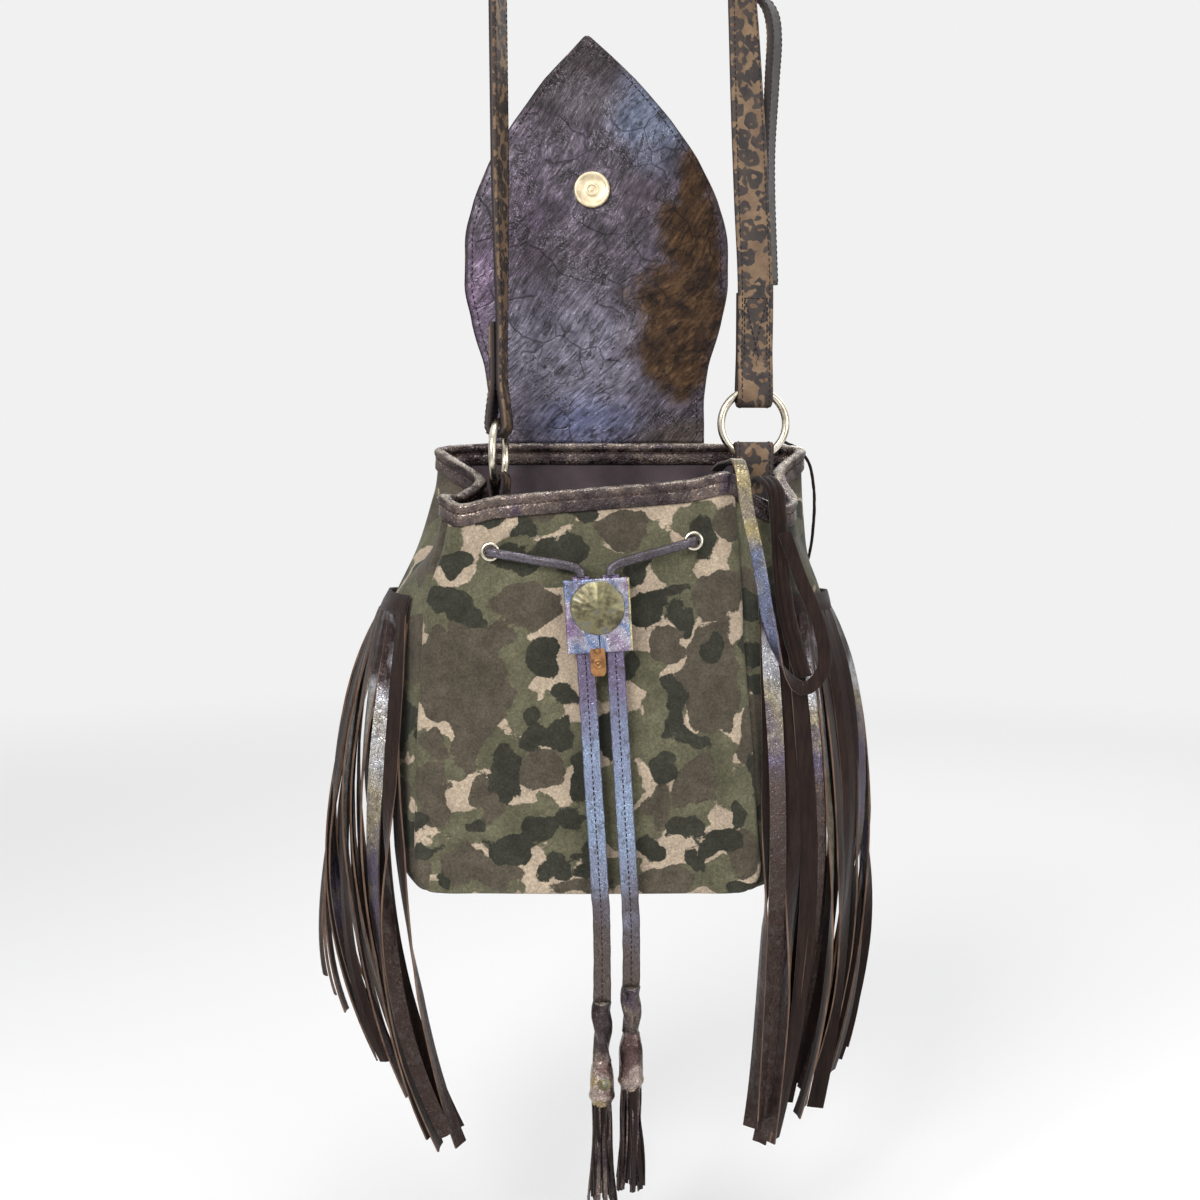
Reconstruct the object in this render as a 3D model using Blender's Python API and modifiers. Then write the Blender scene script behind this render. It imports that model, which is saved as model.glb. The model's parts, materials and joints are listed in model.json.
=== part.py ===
"""Fringed suede drawstring bag, hanging by its strap.

Metres, +Z up, +X to the right as seen from the front, +Y towards the back.
The origin is under the top of the strap, where it hangs over a peg or a door.
"""

import math

import bmesh
import bpy
from mathutils import Matrix, Vector

MM = 0.001
GAP = 0.35 * MM  # between sewn or resting pieces

# Suede walls
SUEDE = 1.6 * MM
LINING = 0.8 * MM
LINING_IN = SUEDE + 1.4 * GAP  # from the outside of the suede
BOTTOM_Z = -742 * MM
MIDDLE_Z = -575 * MM  # the height where the bag is fullest
CORNER_R = 19 * MM  # bottom corners, seen from the front
CORNER_TURN = math.radians(72)

# Front panel, its left and right edges at the bottom, the middle and the rim
FRONT_Y = -45 * MM
FRONT_LEFT = (-133 * MM, -126 * MM, -109 * MM)
FRONT_RIGHT = (96 * MM, 85 * MM, 80 * MM)
FRONT_SWELL = 4 * MM
FRONT_RIM_Z = (-500 * MM, -480 * MM)  # left and right

# Back panel
BACK_Y = 45 * MM
BACK_LEFT = (-136 * MM, -142 * MM, -118 * MM)
BACK_RIGHT = (110 * MM, 130 * MM, 124 * MM)
BACK_SWELL = 3 * MM
BACK_RIM_Z = -461.5 * MM

# Gusset folds at the rim
LEFT_FOLD = (-89 * MM, 2 * MM)
RIGHT_FOLD = (106.4 * MM, 4 * MM)

# Rim binding
BINDING = 1.2 * MM
BINDING_DEPTH = 10.5 * MM
ROLL = 1.1 * MM  # how far the rolled top stands out beyond the flat part

# Eyelets: X and Z of each centre
EYELET_HOLE_R = 3.4 * MM
EYELET_RIM_R = 6.1 * MM
EYELET_TUBE = 0.6 * MM
EYELET_FLANGE = 1.3 * MM
FRONT_EYELETS = ((-78.3 * MM, -526.1 * MM), (47.6 * MM, -519.3 * MM))
BACK_EYELETS = ((-90 * MM, -487 * MM), (65 * MM, -487 * MM))

# Drawstring
STRING_D = 5.2 * MM
TAIL_W = 11.2 * MM
TAIL_T = 2.6 * MM
TAIL_Y = -57 * MM
TAIL_LEAN = math.radians(3.4)
TAIL_APART = 18.4 * MM
TAIL_END_Z = (-808 * MM, -798 * MM)
TAIL_END_X = (-9.1 * MM, 9.1 * MM)
TAIL_STRAIGHT = 215 * MM

# Slider
SLIDER_AT = Vector((-11.6 * MM, TAIL_Y, -564.5 * MM))
SLIDER_W = 40 * MM
SLIDER_H = 45 * MM
SLIDER_SKIN = 1.5 * MM
SLIDER_PLAY = 0.4 * MM
CONCHO_R = 16.6 * MM
CONCHO_DOME = 3.2 * MM
CONCHO_RIM = 1.0 * MM
CONCHO_UP = 5 * MM  # the disc's centre above the slider's
POST_R = 1.8 * MM
TAG_W = 9.2 * MM
TAG_H = 17 * MM
TAG_T = 0.8 * MM
TAG_OVERLAP = 2.5 * MM

# Tassels
CAP_H = 66 * MM
CAP_R = 7.6 * MM
CAP_NECK_R = 5.4 * MM
STRANDS_H = 66 * MM
STRANDS_R = 10.5 * MM

# Flap: half widths up its height
FLAP_LAYER = 1.4 * MM
FLAP_Y = 49.3 * MM
FLAP_X = -12.8 * MM
FLAP_H = 269 * MM
FLAP_TIP_X = -19 * MM
FLAP_HALF = (72, 71.8, 75, 83, 87.4, 87.2, 81, 69, 51, 29, 1.2)
FLAP_ROOT_H = 20 * MM
FLAP_BOW = 4 * MM
HINGE_Z = -459 * MM
SNAP_R = 12 * MM
SNAP_H = 2.6 * MM
SNAP_AT = (-15.7 * MM, -290.5 * MM)

# Rings
WIRE_R = 2.5 * MM
RING_R = 21.1 * MM
RING_PLAY = 0.6 * MM
LEFT_RING = Vector((-75.5 * MM, 0, -465 * MM))
RIGHT_RING = Vector((88.4 * MM, 0, -446 * MM))
LEFT_TURN = math.radians(82)
LEFT_FACE_TURN = math.radians(70)  # higher up, where the strap shows its face
RIGHT_TURN = math.radians(6)

# Strap and tabs
STRAP_W = 25 * MM
STRAP_T = 4.2 * MM
SEAM = 0.4 * MM  # between the two layers of a doubled end
ARCH_R = 75.4 * MM
DOUBLED = 66 * MM  # length of the doubled, stitched ends
TAB_T = 2.4 * MM
TAB_W = 25 * MM
TAB_DROP = 42 * MM
BUCKLE_Z = -122 * MM
BUCKLE_WIRE_R = 2 * MM
BUCKLE_H = 26 * MM
BUCKLE_W = STRAP_W + 2 * BUCKLE_WIRE_R + 4 * MM
BUCKLE_TURN = math.radians(45)
FREE_TAIL_Z = -355 * MM
RIVET_R = 3.2 * MM

# Fringe
FRINGE_TOP_Z = -560 * MM
HEADER_H = 12 * MM
STRIP_T = 1.4 * MM
STRIPS = 12

# Laces
LACE_W = 8.5 * MM
LACE_T = 1.6 * MM
BUNDLE_W = 11 * MM
BUNDLE_T = 4 * MM
THONG_D = 2.6 * MM

COLOURS = {
    "camo suede": ((0.13, 0.115, 0.075), 0.95, 0),
    "metallic leather": ((0.12, 0.09, 0.07), 0.4, 0.6),
    "lining cloth": ((0.06, 0.045, 0.045), 0.9, 0),
    "nickel": ((0.75, 0.72, 0.62), 0.25, 1),
    "brass": ((0.45, 0.36, 0.17), 0.4, 1),
    "hide": ((0.17, 0.16, 0.2), 0.5, 0.3),
    "strap leather": ((0.2, 0.13, 0.07), 0.6, 0),
    "dark suede": ((0.035, 0.022, 0.018), 0.95, 0),
    "blue leather": ((0.2, 0.2, 0.28), 0.4, 0.6),
}

for old in list(bpy.data.objects):
    bpy.data.objects.remove(old, do_unlink=True)

BAG = bpy.data.collections.new("fringed_suede_bag")
CUTTERS = bpy.data.collections.new("cutters")
bpy.context.scene.collection.children.link(BAG)
bpy.context.scene.collection.children.link(CUTTERS)


def place(name, mesh, kind, parent=None):
    """Put a mesh in the bag as a named object of its own material."""
    obj = bpy.data.objects.new(name, mesh)
    BAG.objects.link(obj)
    colour, rough, metal = COLOURS[kind]
    mat = bpy.data.materials.new(name)
    mat.use_nodes = True
    shader = mat.node_tree.nodes["Principled BSDF"]
    shader.inputs["Base Color"].default_value = (*colour, 1)
    shader.inputs["Roughness"].default_value = rough
    shader.inputs["Metallic"].default_value = metal
    obj.data.materials.append(mat)
    if hasattr(obj.data, "shade_smooth"):
        obj.data.shade_smooth()
        obj.data.set_sharp_from_angle(angle=math.radians(40))
    if parent:
        obj.parent = parent
        obj.matrix_parent_inverse = parent.matrix_world.inverted()
    return obj


def closed_mesh(name, points, faces):
    mesh = bpy.data.meshes.new(name)
    bm = bmesh.new()
    verts = [bm.verts.new(p) for p in points]
    for f in faces:
        bm.faces.new([verts[i] for i in f])
    bmesh.ops.remove_doubles(bm, verts=bm.verts, dist=1e-6)
    bmesh.ops.recalc_face_normals(bm, faces=bm.faces)
    bm.to_mesh(mesh)
    bm.free()
    return mesh


def loft(name, sections, ring=False):
    """Join sections of as many points each; ring joins the last to the first."""
    n, m = len(sections[0]), len(sections)
    points = [p for s in sections for p in s]
    faces = []
    for k in range(m if ring else m - 1):
        a, b = k * n, (k + 1) % m * n
        for i in range(n):
            j = (i + 1) % n
            faces.append((a + i, a + j, b + j, b + i))
    if not ring:
        faces.append(tuple(range(n)))
        faces.append(tuple(range((m - 1) * n, m * n)))
    return closed_mesh(name, points, faces)


def slab(name, outer, inner):
    """A sheet between two grids of points, closed along its four edges."""
    rows, cols = len(outer), len(outer[0])
    size = rows * cols
    points = [p for r in outer for p in r] + [p for r in inner for p in r]
    faces = []
    for r in range(rows - 1):
        for c in range(cols - 1):
            a = r * cols + c
            faces.append((a, a + 1, a + cols + 1, a + cols))
            faces.append(tuple(size + i for i in (a, a + cols, a + cols + 1, a + 1)))
    edge = [(0, c) for c in range(cols)] + [(r, cols - 1) for r in range(1, rows)]
    edge += [(rows - 1, c) for c in range(cols - 2, -1, -1)]
    edge += [(r, 0) for r in range(rows - 2, 0, -1)]
    for k, (r, c) in enumerate(edge):
        r2, c2 = edge[(k + 1) % len(edge)]
        a, b = r * cols + c, r2 * cols + c2
        faces.append((a, b, size + b, size + a))
    return closed_mesh(name, points, faces)


def spline(points, t, closed=False):
    """A centripetal Catmull-Rom curve through points, at index t."""
    n = len(points)
    k = math.floor(t)
    u = t - k
    if not closed and k >= n - 1:
        k, u = n - 2, 1.0

    def at(i):
        if closed:
            return points[i % n]
        if i < 0:
            return points[0] * 2 - points[1]
        if i >= n:
            return points[-1] * 2 - points[-2]
        return points[i]

    p = [at(k - 1), at(k), at(k + 1), at(k + 2)]
    s = [0.0]
    for a, b in zip(p, p[1:]):
        s.append(s[-1] + max((b - a).length, 1e-7) ** 0.5)
    x = s[1] + u * (s[2] - s[1])
    q = list(p)
    for level in (1, 2):
        q = [
            q[i] * ((s[i + level] - x) / (s[i + level] - s[i]))
            + q[i + 1] * ((x - s[i]) / (s[i + level] - s[i]))
            for i in range(len(q) - 1)
        ]
    return q[0] * ((s[2] - x) / (s[2] - s[1])) + q[1] * ((x - s[1]) / (s[2] - s[1]))


def smooth_path(points, count):
    pts = [Vector(p) for p in points]
    return [spline(pts, (len(pts) - 1) * i / (count - 1)) for i in range(count)]


def ribbon(name, stations, width, thick):
    """A flat strap through stations of (centre, direction of its width)."""
    sections = []
    for i, (p, w) in enumerate(stations):
        before = stations[max(i - 1, 0)][0]
        after = stations[min(i + 1, len(stations) - 1)][0]
        along = (after - before).normalized()
        w = (w - along * w.dot(along)).normalized()
        n = along.cross(w)
        a, b = w * (width / 2), n * (thick / 2)
        c = w * (width / 2 - thick * 0.3)
        sections.append([p + c + b, p + a, p + c - b, p - c - b, p - a, p - c + b])
    return loft(name, sections)


def tube(name, points, diameter, kind, resolution=1):
    curve = bpy.data.curves.new(name, "CURVE")
    curve.dimensions = "3D"
    curve.bevel_depth = diameter / 2
    curve.bevel_resolution = resolution
    curve.use_fill_caps = True
    line = curve.splines.new("POLY")
    line.points.add(len(points) - 1)
    for target, p in zip(line.points, points):
        target.co = (*p, 1)
    return place(name, curve, kind)


def turned(name, profile, steps, kind, matrix, parent=None):
    """Turn a closed or axis-ended profile of (radius, height) about its axis."""
    mesh = bpy.data.meshes.new(name)
    bm = bmesh.new()
    verts = [bm.verts.new((r, 0, h)) for r, h in profile]
    for a, b in zip(verts, verts[1:]):
        bm.edges.new((a, b))
    if profile[0][0] > 1e-9:
        bm.edges.new((verts[-1], verts[0]))
    bmesh.ops.spin(
        bm,
        geom=bm.verts[:] + bm.edges[:],
        cent=(0, 0, 0),
        axis=(0, 0, 1),
        angle=math.tau,
        steps=steps,
        use_merge=True,
    )
    bmesh.ops.remove_doubles(bm, verts=bm.verts, dist=1e-6)
    bmesh.ops.recalc_face_normals(bm, faces=bm.faces)
    bm.transform(matrix)
    bm.to_mesh(mesh)
    bm.free()
    return place(name, mesh, kind, parent)


def facing(at, towards):
    """A frame at a point, its Z axis along a direction."""
    z = Vector(towards).normalized()
    x = Vector((0, 0, 1)).cross(z).normalized()
    return Matrix.Translation(at) @ Matrix((x, z.cross(x), z)).transposed().to_4x4()


def cut(obj, shape):
    mod = obj.modifiers.new("hole", "BOOLEAN")
    mod.operation = "DIFFERENCE"
    mod.object = shape


def cutter(name, mesh):
    obj = bpy.data.objects.new(name, mesh)
    CUTTERS.objects.link(obj)
    obj.hide_render = True
    obj.display_type = "WIRE"
    return obj


def pivot(name, at):
    empty = bpy.data.objects.new(name, None)
    BAG.objects.link(empty)
    empty.matrix_world = Matrix.Translation(at)
    return empty


# The wall of the bag. Its plan is a closed curve through these stations, numbered
# anticlockwise from the front left corner; each is (bottom, middle, rim, rim height).
def stations():
    f, b = FRONT_Y, BACK_Y
    soft = (6 * MM, 9 * MM, 12 * MM)  # corner radius at the three levels
    fl, fr, bl, br = FRONT_LEFT, FRONT_RIGHT, BACK_LEFT, BACK_RIGHT
    lean = (FRONT_RIM_Z[1] - FRONT_RIM_Z[0]) / 4

    def row(share, left, right, y, swell, z):
        xs = [l + c + (r - l - 2 * c) * share for l, r, c in zip(left, right, soft)]
        bump = swell * math.sin(math.pi * share)
        out = -1 if y < 0 else 1
        ys = (y + out * bump * 0.6, y + out * bump, y)
        return [Vector((x, v)) for x, v in zip(xs, ys)] + [z]

    def side(edge, y, away, z):
        return [Vector((x, y + away * c)) for x, c in zip(edge, soft)] + [z]

    def free(bottom, middle, rim, z):
        return [Vector((p[0] * MM, p[1] * MM)) for p in (bottom, middle)] + [Vector(rim), z]

    front = [
        row(s, fl, fr, f, FRONT_SWELL, FRONT_RIM_Z[0] + lean * k)
        for k, s in enumerate((0, 0.14, 0.5, 0.86, 1))
    ]
    back = [
        row(s, bl, br, b, BACK_SWELL, z)
        for s, z in zip(
            (1, 0.86, 0.5, 0.14, 0),
            (BACK_RIM_Z - 1 * MM, BACK_RIM_Z, BACK_RIM_Z, BACK_RIM_Z, BACK_RIM_Z - 1 * MM),
        )
    ]
    return [
        *front,
        side(fr, f, 1, -491 * MM),
        free((107, -27), (110, -29), (106 * MM, -24 * MM), -501 * MM),
        free((114, -14), (125, -15), (113 * MM, -12.5 * MM), -497 * MM),
        free((118, 10), (138, 8), RIGHT_FOLD, -480 * MM),
        side(br, b, -1, BACK_RIM_Z - 3 * MM),
        *back,
        side(bl, b, -1, BACK_RIM_Z - 3 * MM),
        free((-142, 22), (-150, 24), (-107 * MM, 20 * MM), -472 * MM),
        free((-143, 4), (-152, 4), LEFT_FOLD, -484 * MM),
        free((-140, -18), (-144, -20), (-104 * MM, -18 * MM), -495 * MM),
        side(fl, f, 1, -494 * MM),
    ]


WALL = stations()
COUNT = len(WALL)
FRONT_EDGES = (-0.5, 4.5)
BACK_EDGES = (9.5, 14.5)
MIDDLE_X = (FRONT_LEFT[0] + FRONT_RIGHT[0]) / 2
HALF_W = (FRONT_RIGHT[0] - FRONT_LEFT[0]) / 2


def rim_z(t):
    return spline([Vector((s[3], 0)) for s in WALL], t, closed=True).x


def plan(t, z):
    """The wall's outer face at station t and height z, as X and Y."""
    points = []
    for low, mid, rim, top in WALL:
        if z <= MIDDLE_Z:
            share = max((z - BOTTOM_Z) / (MIDDLE_Z - BOTTOM_Z), 0)
            points.append(low.lerp(mid, share))
        else:
            share = min((z - MIDDLE_Z) / (top - MIDDLE_Z), 1)
            points.append(mid.lerp(rim, share * share * (3 - 2 * share)))
    return spline(points, t, closed=True)


def wall_face(t, q):
    """The outer face. q is 0 at the base, 1 above the rounded corner, 2 under the
    binding and 3 at the rim."""
    low = BOTTOM_Z + CORNER_R * math.sin(CORNER_TURN)
    leg = rim_z(t) - BINDING_DEPTH
    if q < 1:
        turn = (1 - q) * CORNER_TURN
        z = low - CORNER_R * math.sin(turn)
        p = plan(t, z)
        narrow = 1 - CORNER_R * (1 - math.cos(turn)) / HALF_W
        return Vector((MIDDLE_X + (p.x - MIDDLE_X) * narrow, p.y, z))
    z = low + (leg - low) * (q - 1) if q < 2 else leg + BINDING_DEPTH * (q - 2)
    p = plan(t, z)
    return Vector((p.x, p.y, z))


def wall_normal(t, q):
    e = 0.02
    along = wall_face(t + e, q) - wall_face(t - e, q)
    up = wall_face(t, min(q + e, 3)) - wall_face(t, max(min(q, 3) - e, 0))
    return along.cross(up).normalized()


def wall(t, q, out=0.0):
    """A point out from the wall's outer face, or in from it where out is negative."""
    return wall_face(t, q) + wall_normal(t, q) * out


def q_of(t, z):
    """The q of a height on the plain part of the wall."""
    low = BOTTOM_Z + CORNER_R * math.sin(CORNER_TURN)
    return 1 + (z - low) / (rim_z(t) - BINDING_DEPTH - low)


ROWS = (0, 0.45, 1, 1.68, 1.85, 2, 3)
FRONT_T = (-0.25, 0, 0.5, 1, 1.5, 2, 2.5, 3, 3.5, 4, 4.25)
RIGHT_T = (4.75, 5, 5.5, 6, 6.4, 6.7, 7, 7.3, 7.6, 8, 8.4, 8.75, 9, 9.25)
BACK_T = (9.75, 10, 10.5, 11, 12, 13, 13.5, 14, 14.25)
LEFT_T = (14.75, 15, 15.4, 15.7, 16, 16.35, 16.7, 17, 17.3, 17.65, 18, 18.5, 19, 19.25)


def wall_panel(name, edges, inside):
    """One panel of the wall, cut off just short of the seams at its two edges."""
    seam = 0.18 * MM
    outer, inner = [], []
    for q in ROWS:
        ts = list(inside)
        for edge, way in zip(edges, (1, -1)):
            step = (wall_face(edge + 0.1 * way, q) - wall_face(edge, q)).length
            ts.insert(0 if way > 0 else len(ts), edge + 0.1 * way * seam / step)
        outer.append([wall(t, q) for t in ts])
        inner.append([wall(t, q, -SUEDE) for t in ts])
    return place(name, slab(name, outer, inner), "camo suede")


def rim_stations():
    ts = [*FRONT_T, FRONT_EDGES[1], *RIGHT_T, BACK_EDGES[0], *BACK_T, BACK_EDGES[1]]
    return [*ts, *LEFT_T, FRONT_EDGES[0] + COUNT]


def make_lining():
    """A cloth bag inside the suede, closed at its bottom."""
    ts = rim_stations()
    skins = []
    for depth, floor in (
        (LINING_IN, SUEDE + GAP),
        (LINING_IN + LINING, SUEDE + GAP + LINING),
    ):
        skin = []
        for q in (0, *ROWS[2:]):
            ring = [wall(t, q, -depth) for t in ts]
            for p in ring:
                p.z = max(p.z, BOTTOM_Z + floor)
                if q == 0:
                    p.z = BOTTOM_Z + floor
            skin.append(ring)
        skins.append(skin)
    outer, inner = skins
    n, m = len(ts), len(outer)
    points = [p for r in outer + inner for p in r]
    faces = [tuple(range(n)), tuple(n * m + i for i in range(n))]
    for base in (0, n * m):
        for k in range(m - 1):
            for i in range(n):
                a, b = base + k * n + i, base + k * n + (i + 1) % n
                faces.append((a, b, b + n, a + n))
    for i in range(n):
        a, b = (m - 1) * n + i, (m - 1) * n + (i + 1) % n
        faces.append((a, b, b + n * m, a + n * m))
    return place("lining", closed_mesh("lining", points, faces), "lining cloth")


def make_base():
    ts = rim_stations()[::2]
    sections = []
    for up in (0, SUEDE):
        ring = []
        for t in ts:
            p, n = wall_face(t, 0), wall_normal(t, 0)
            flat = Vector((n.x, n.y, 0)).normalized()
            p = p - flat * (SUEDE + 2.5 * GAP)
            ring.append(Vector((p.x, p.y, BOTTOM_Z + up)))
        sections.append(ring)
    place("base_panel", loft("base_panel", sections), "camo suede")


def make_binding():
    """A leather strip folded over the rim: a flat leg on each side and a rolled top."""
    out = GAP + 0.15 * MM
    inn = -(LINING_IN + LINING + out)
    lift = Vector((0, 0, 1))
    sections = []
    for t in rim_stations():
        s = []
        s.append(wall(t, 2, out))
        s.append(wall(t, 2, out + BINDING))
        for o, z in (
            (out + BINDING, -1.8 * MM),
            (out + BINDING + ROLL, 1.0 * MM),
            (out + BINDING * 0.3, 3.6 * MM),
            (inn - BINDING * 0.3, 3.6 * MM),
            (inn - BINDING - ROLL, 1.0 * MM),
            (inn - BINDING, -1.8 * MM),
        ):
            s.append(wall(t, 3, o) + lift * z)
        s.append(wall(t, 2, inn - BINDING))
        s.append(wall(t, 2, inn))
        s.append(wall(t, 3, inn) + lift * 2.2 * GAP)
        s.append(wall(t, 3, out) + lift * 2.2 * GAP)
        sections.append(s)
    place("rim_binding", loft("rim_binding", sections, ring=True), "metallic leather")


def station_at(x, z, edges):
    """The station of the front or back face that is at a given X and height."""
    a, b = edges
    for _ in range(40):
        mid = (a + b) / 2
        if (plan(mid, z).x < x) == (plan(edges[0], z).x < plan(edges[1], z).x):
            a = mid
        else:
            b = mid
    return (a + b) / 2


def eyelet(name, x, z, edges, walls):
    """A turned eyelet through the suede and the lining; walls are cut for it."""
    t = station_at(x, z, edges)
    q = q_of(t, z)
    frame = facing(wall(t, q), wall_normal(t, q))
    r, tube_r = EYELET_HOLE_R, EYELET_HOLE_R + EYELET_TUBE
    front = 1.4 * GAP
    back = -(LINING_IN + LINING + 1.4 * GAP)
    profile = (
        (r, front + EYELET_FLANGE * 0.6),
        (r + 1.2 * MM, front + EYELET_FLANGE),
        (EYELET_RIM_R, front),
        (tube_r, front),
        (tube_r, back),
        (EYELET_RIM_R - 0.5 * MM, back),
        (r, back - EYELET_FLANGE * 0.6),
    )
    turned(name, profile, 12, "nickel", frame)
    mesh = bpy.data.meshes.new(name + "_hole")
    bm = bmesh.new()
    bmesh.ops.create_cone(
        bm,
        cap_ends=True,
        segments=12,
        radius1=tube_r + GAP,
        radius2=tube_r + GAP,
        depth=12 * MM,
        matrix=frame,
    )
    bm.to_mesh(mesh)
    bm.free()
    hole = cutter(name + "_hole", mesh)
    for piece in walls:
        cut(piece, hole)
    return t, q


def make_drawstring(front, back):
    """One string: out of the slider, in at each front eyelet, round inside the
    gussets, out at the back eyelets and across the back."""
    inside = -(LINING_IN + LINING + GAP + STRING_D / 2 + 2.6 * MM)
    outside = BACK_SWELL + STRING_D / 2 + 2 * MM
    (fl, flq), (fr, frq) = front
    (bl, blq), (br, brq) = back

    def through(t, q, way):
        pts = [wall(t, q, d) for d in (inside, inside * 0.45, 1.5 * MM, 7 * MM)]
        return pts if way > 0 else pts[::-1]

    def round_inside(t0, q0, t1, q1):
        z0, z1 = wall_face(t0, q0).z, wall_face(t1, q1).z
        pts = []
        for k in range(1, 9):
            s = k / 9
            t = t0 + (t1 - t0) * s
            z = z0 + (z1 - z0) * s - 6 * MM * math.sin(math.pi * s)
            pts.append(wall(t, q_of(t, z), inside))
        return pts

    lean = Vector((math.sin(TAIL_LEAN), 0, -math.cos(TAIL_LEAN)))
    level = Vector((math.cos(TAIL_LEAN), 0, math.sin(TAIL_LEAN)))
    top = SLIDER_AT - lean * (SLIDER_H / 2 + 2 * MM + GAP)
    ends = []
    for side in (-1, 1):
        end = top + level * (side * TAIL_APART / 2) - lean * 0.35 * MM
        up = (0, 2.4 * MM, 5 * MM)
        out = (0, 0.3 * MM, 3.6 * MM)
        ends.append([end - lean * u + level * side * o for u, o in zip(up, out)])
    left = through(fl, flq, -1)
    path = ends[0]
    path = path + [ends[0][-1].lerp(left[0], 0.5) + Vector((0, 1 * MM, 0))]
    path += left
    path += round_inside(fl, flq, bl - COUNT, blq)
    path += through(bl, blq, 1)
    a, b = wall(bl, blq, outside), wall(br, brq, outside)
    path += [a.lerp(b, s) for s in (0.12, 0.35, 0.65, 0.88)]
    path += through(br, brq, -1)
    path += round_inside(br, brq, fr, frq)
    right = through(fr, frq, 1)
    path += right
    path += [ends[1][-1].lerp(right[-1], 0.5) + Vector((0, 1 * MM, 0))]
    path += ends[1][::-1]
    tube("drawstring", smooth_path(path, 66), STRING_D, "metallic leather")
    return lean, level


def make_tails(lean, level):
    """The string's two flat ends, straight as far as the slider travels."""
    ends = []
    for k, name in enumerate(("drawstring_tail_left", "drawstring_tail_right")):
        side = 2 * k - 1
        top = SLIDER_AT - lean * (SLIDER_H / 2 + 2 * MM) + level * side * TAIL_APART / 2
        low = top + lean * TAIL_STRAIGHT
        end = Vector((TAIL_END_X[k], TAIL_Y, TAIL_END_Z[k]))
        pts = [top, top.lerp(low, 0.5), low]
        pts += [spline([top, low, end, end * 2 - low], 1 + s) for s in (0.35, 0.7, 1)]
        path = [(p, level) for p in pts]
        place(name, ribbon(name, path, TAIL_W, TAIL_T), "blue leather")
        ends.append(end)
    return ends


def make_slider(lean, level):
    """A flat sheath with one channel for each tail, and what it carries."""
    parent = pivot("slider_on_tails", SLIDER_AT)
    frame = Matrix.Translation(SLIDER_AT) @ Matrix(
        (level, Vector((0, 1, 0)), -lean)
    ).transposed().to_4x4()
    deep = TAIL_T + 2 * SLIDER_PLAY + 2 * SLIDER_SKIN

    def block(size, at):
        mesh = bpy.data.meshes.new("block")
        bm = bmesh.new()
        bmesh.ops.create_cube(bm, size=1)
        bm.transform(Matrix.Diagonal((*size, 1)))
        bm.transform(frame @ Matrix.Translation(at))
        bm.to_mesh(mesh)
        bm.free()
        return mesh

    body = place(
        "drawstring_slider",
        block((SLIDER_W, deep, SLIDER_H), (0, 0, 0)),
        "blue leather",
        parent,
    )
    edge = body.modifiers.new("edges", "BEVEL")
    edge.width = 0.9 * MM
    edge.segments = 2
    for side in (-1, 1):
        size = (TAIL_W + 2 * SLIDER_PLAY, TAIL_T + 2 * SLIDER_PLAY, SLIDER_H * 1.4)
        channel = cutter("channel", block(size, (side * TAIL_APART / 2, 0, 0)))
        cut(body, channel)

    face = frame @ Vector((0, -deep / 2, CONCHO_UP))
    out = facing(face, (0, -1, 0))
    cone = bpy.data.meshes.new("post_hole")
    bm = bmesh.new()
    bmesh.ops.create_cone(
        bm,
        cap_ends=True,
        segments=12,
        radius1=POST_R + GAP,
        radius2=POST_R + GAP,
        depth=deep * 3,
        matrix=out,
    )
    bm.to_mesh(cone)
    bm.free()
    cut(body, cutter("post_hole", cone))
    dome = [(0, GAP + CONCHO_RIM + CONCHO_DOME)]
    for k in (0.3, 0.6, 0.85, 1):
        dome.append((CONCHO_R * k, GAP + CONCHO_RIM + CONCHO_DOME * (1 - k * k)))
    dome += [(CONCHO_R, GAP), (0, GAP)]
    turned("concho", dome, 22, "brass", out, parent)
    head = 3.6 * MM
    post = [
        (0, 0),
        (POST_R, 0),
        (POST_R, -deep - GAP),
        (head, -deep - GAP),
        (head * 0.9, -deep - GAP - 1 * MM),
        (0, -deep - GAP - 1.2 * MM),
    ]
    turned("concho_post", post, 12, "brass", out, parent)

    hang = frame @ Vector((-1.6 * MM, -deep / 2 - GAP - TAG_T / 2, 0))
    top = -SLIDER_H / 2 + TAG_OVERLAP
    pts = []
    for k, (w, h) in enumerate(((0.42, 0), (0.5, -0.12), (0.5, -0.85), (0.34, -1))):
        pts.append((TAG_W * w, top + TAG_H * h))
    outline = pts + [(-x, h) for x, h in pts[::-1]]
    sections = []
    for y in (-TAG_T / 2, TAG_T / 2):
        sections.append([hang + level * x - lean * h + Vector((0, y, 0)) for x, h in outline])
    place("small_tag", loft("small_tag", sections), "brass", parent)
    rivet = hang - lean * (top - 1.4 * MM) + Vector((0, -TAG_T / 2 - GAP, 0))
    stud = [(0, 0.9 * MM), (1.2 * MM, 0.7 * MM), (1.7 * MM, 0), (0, 0)]
    turned("tag_rivet", stud, 12, "brass", facing(rivet, (0, -1, 0)), parent)


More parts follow.
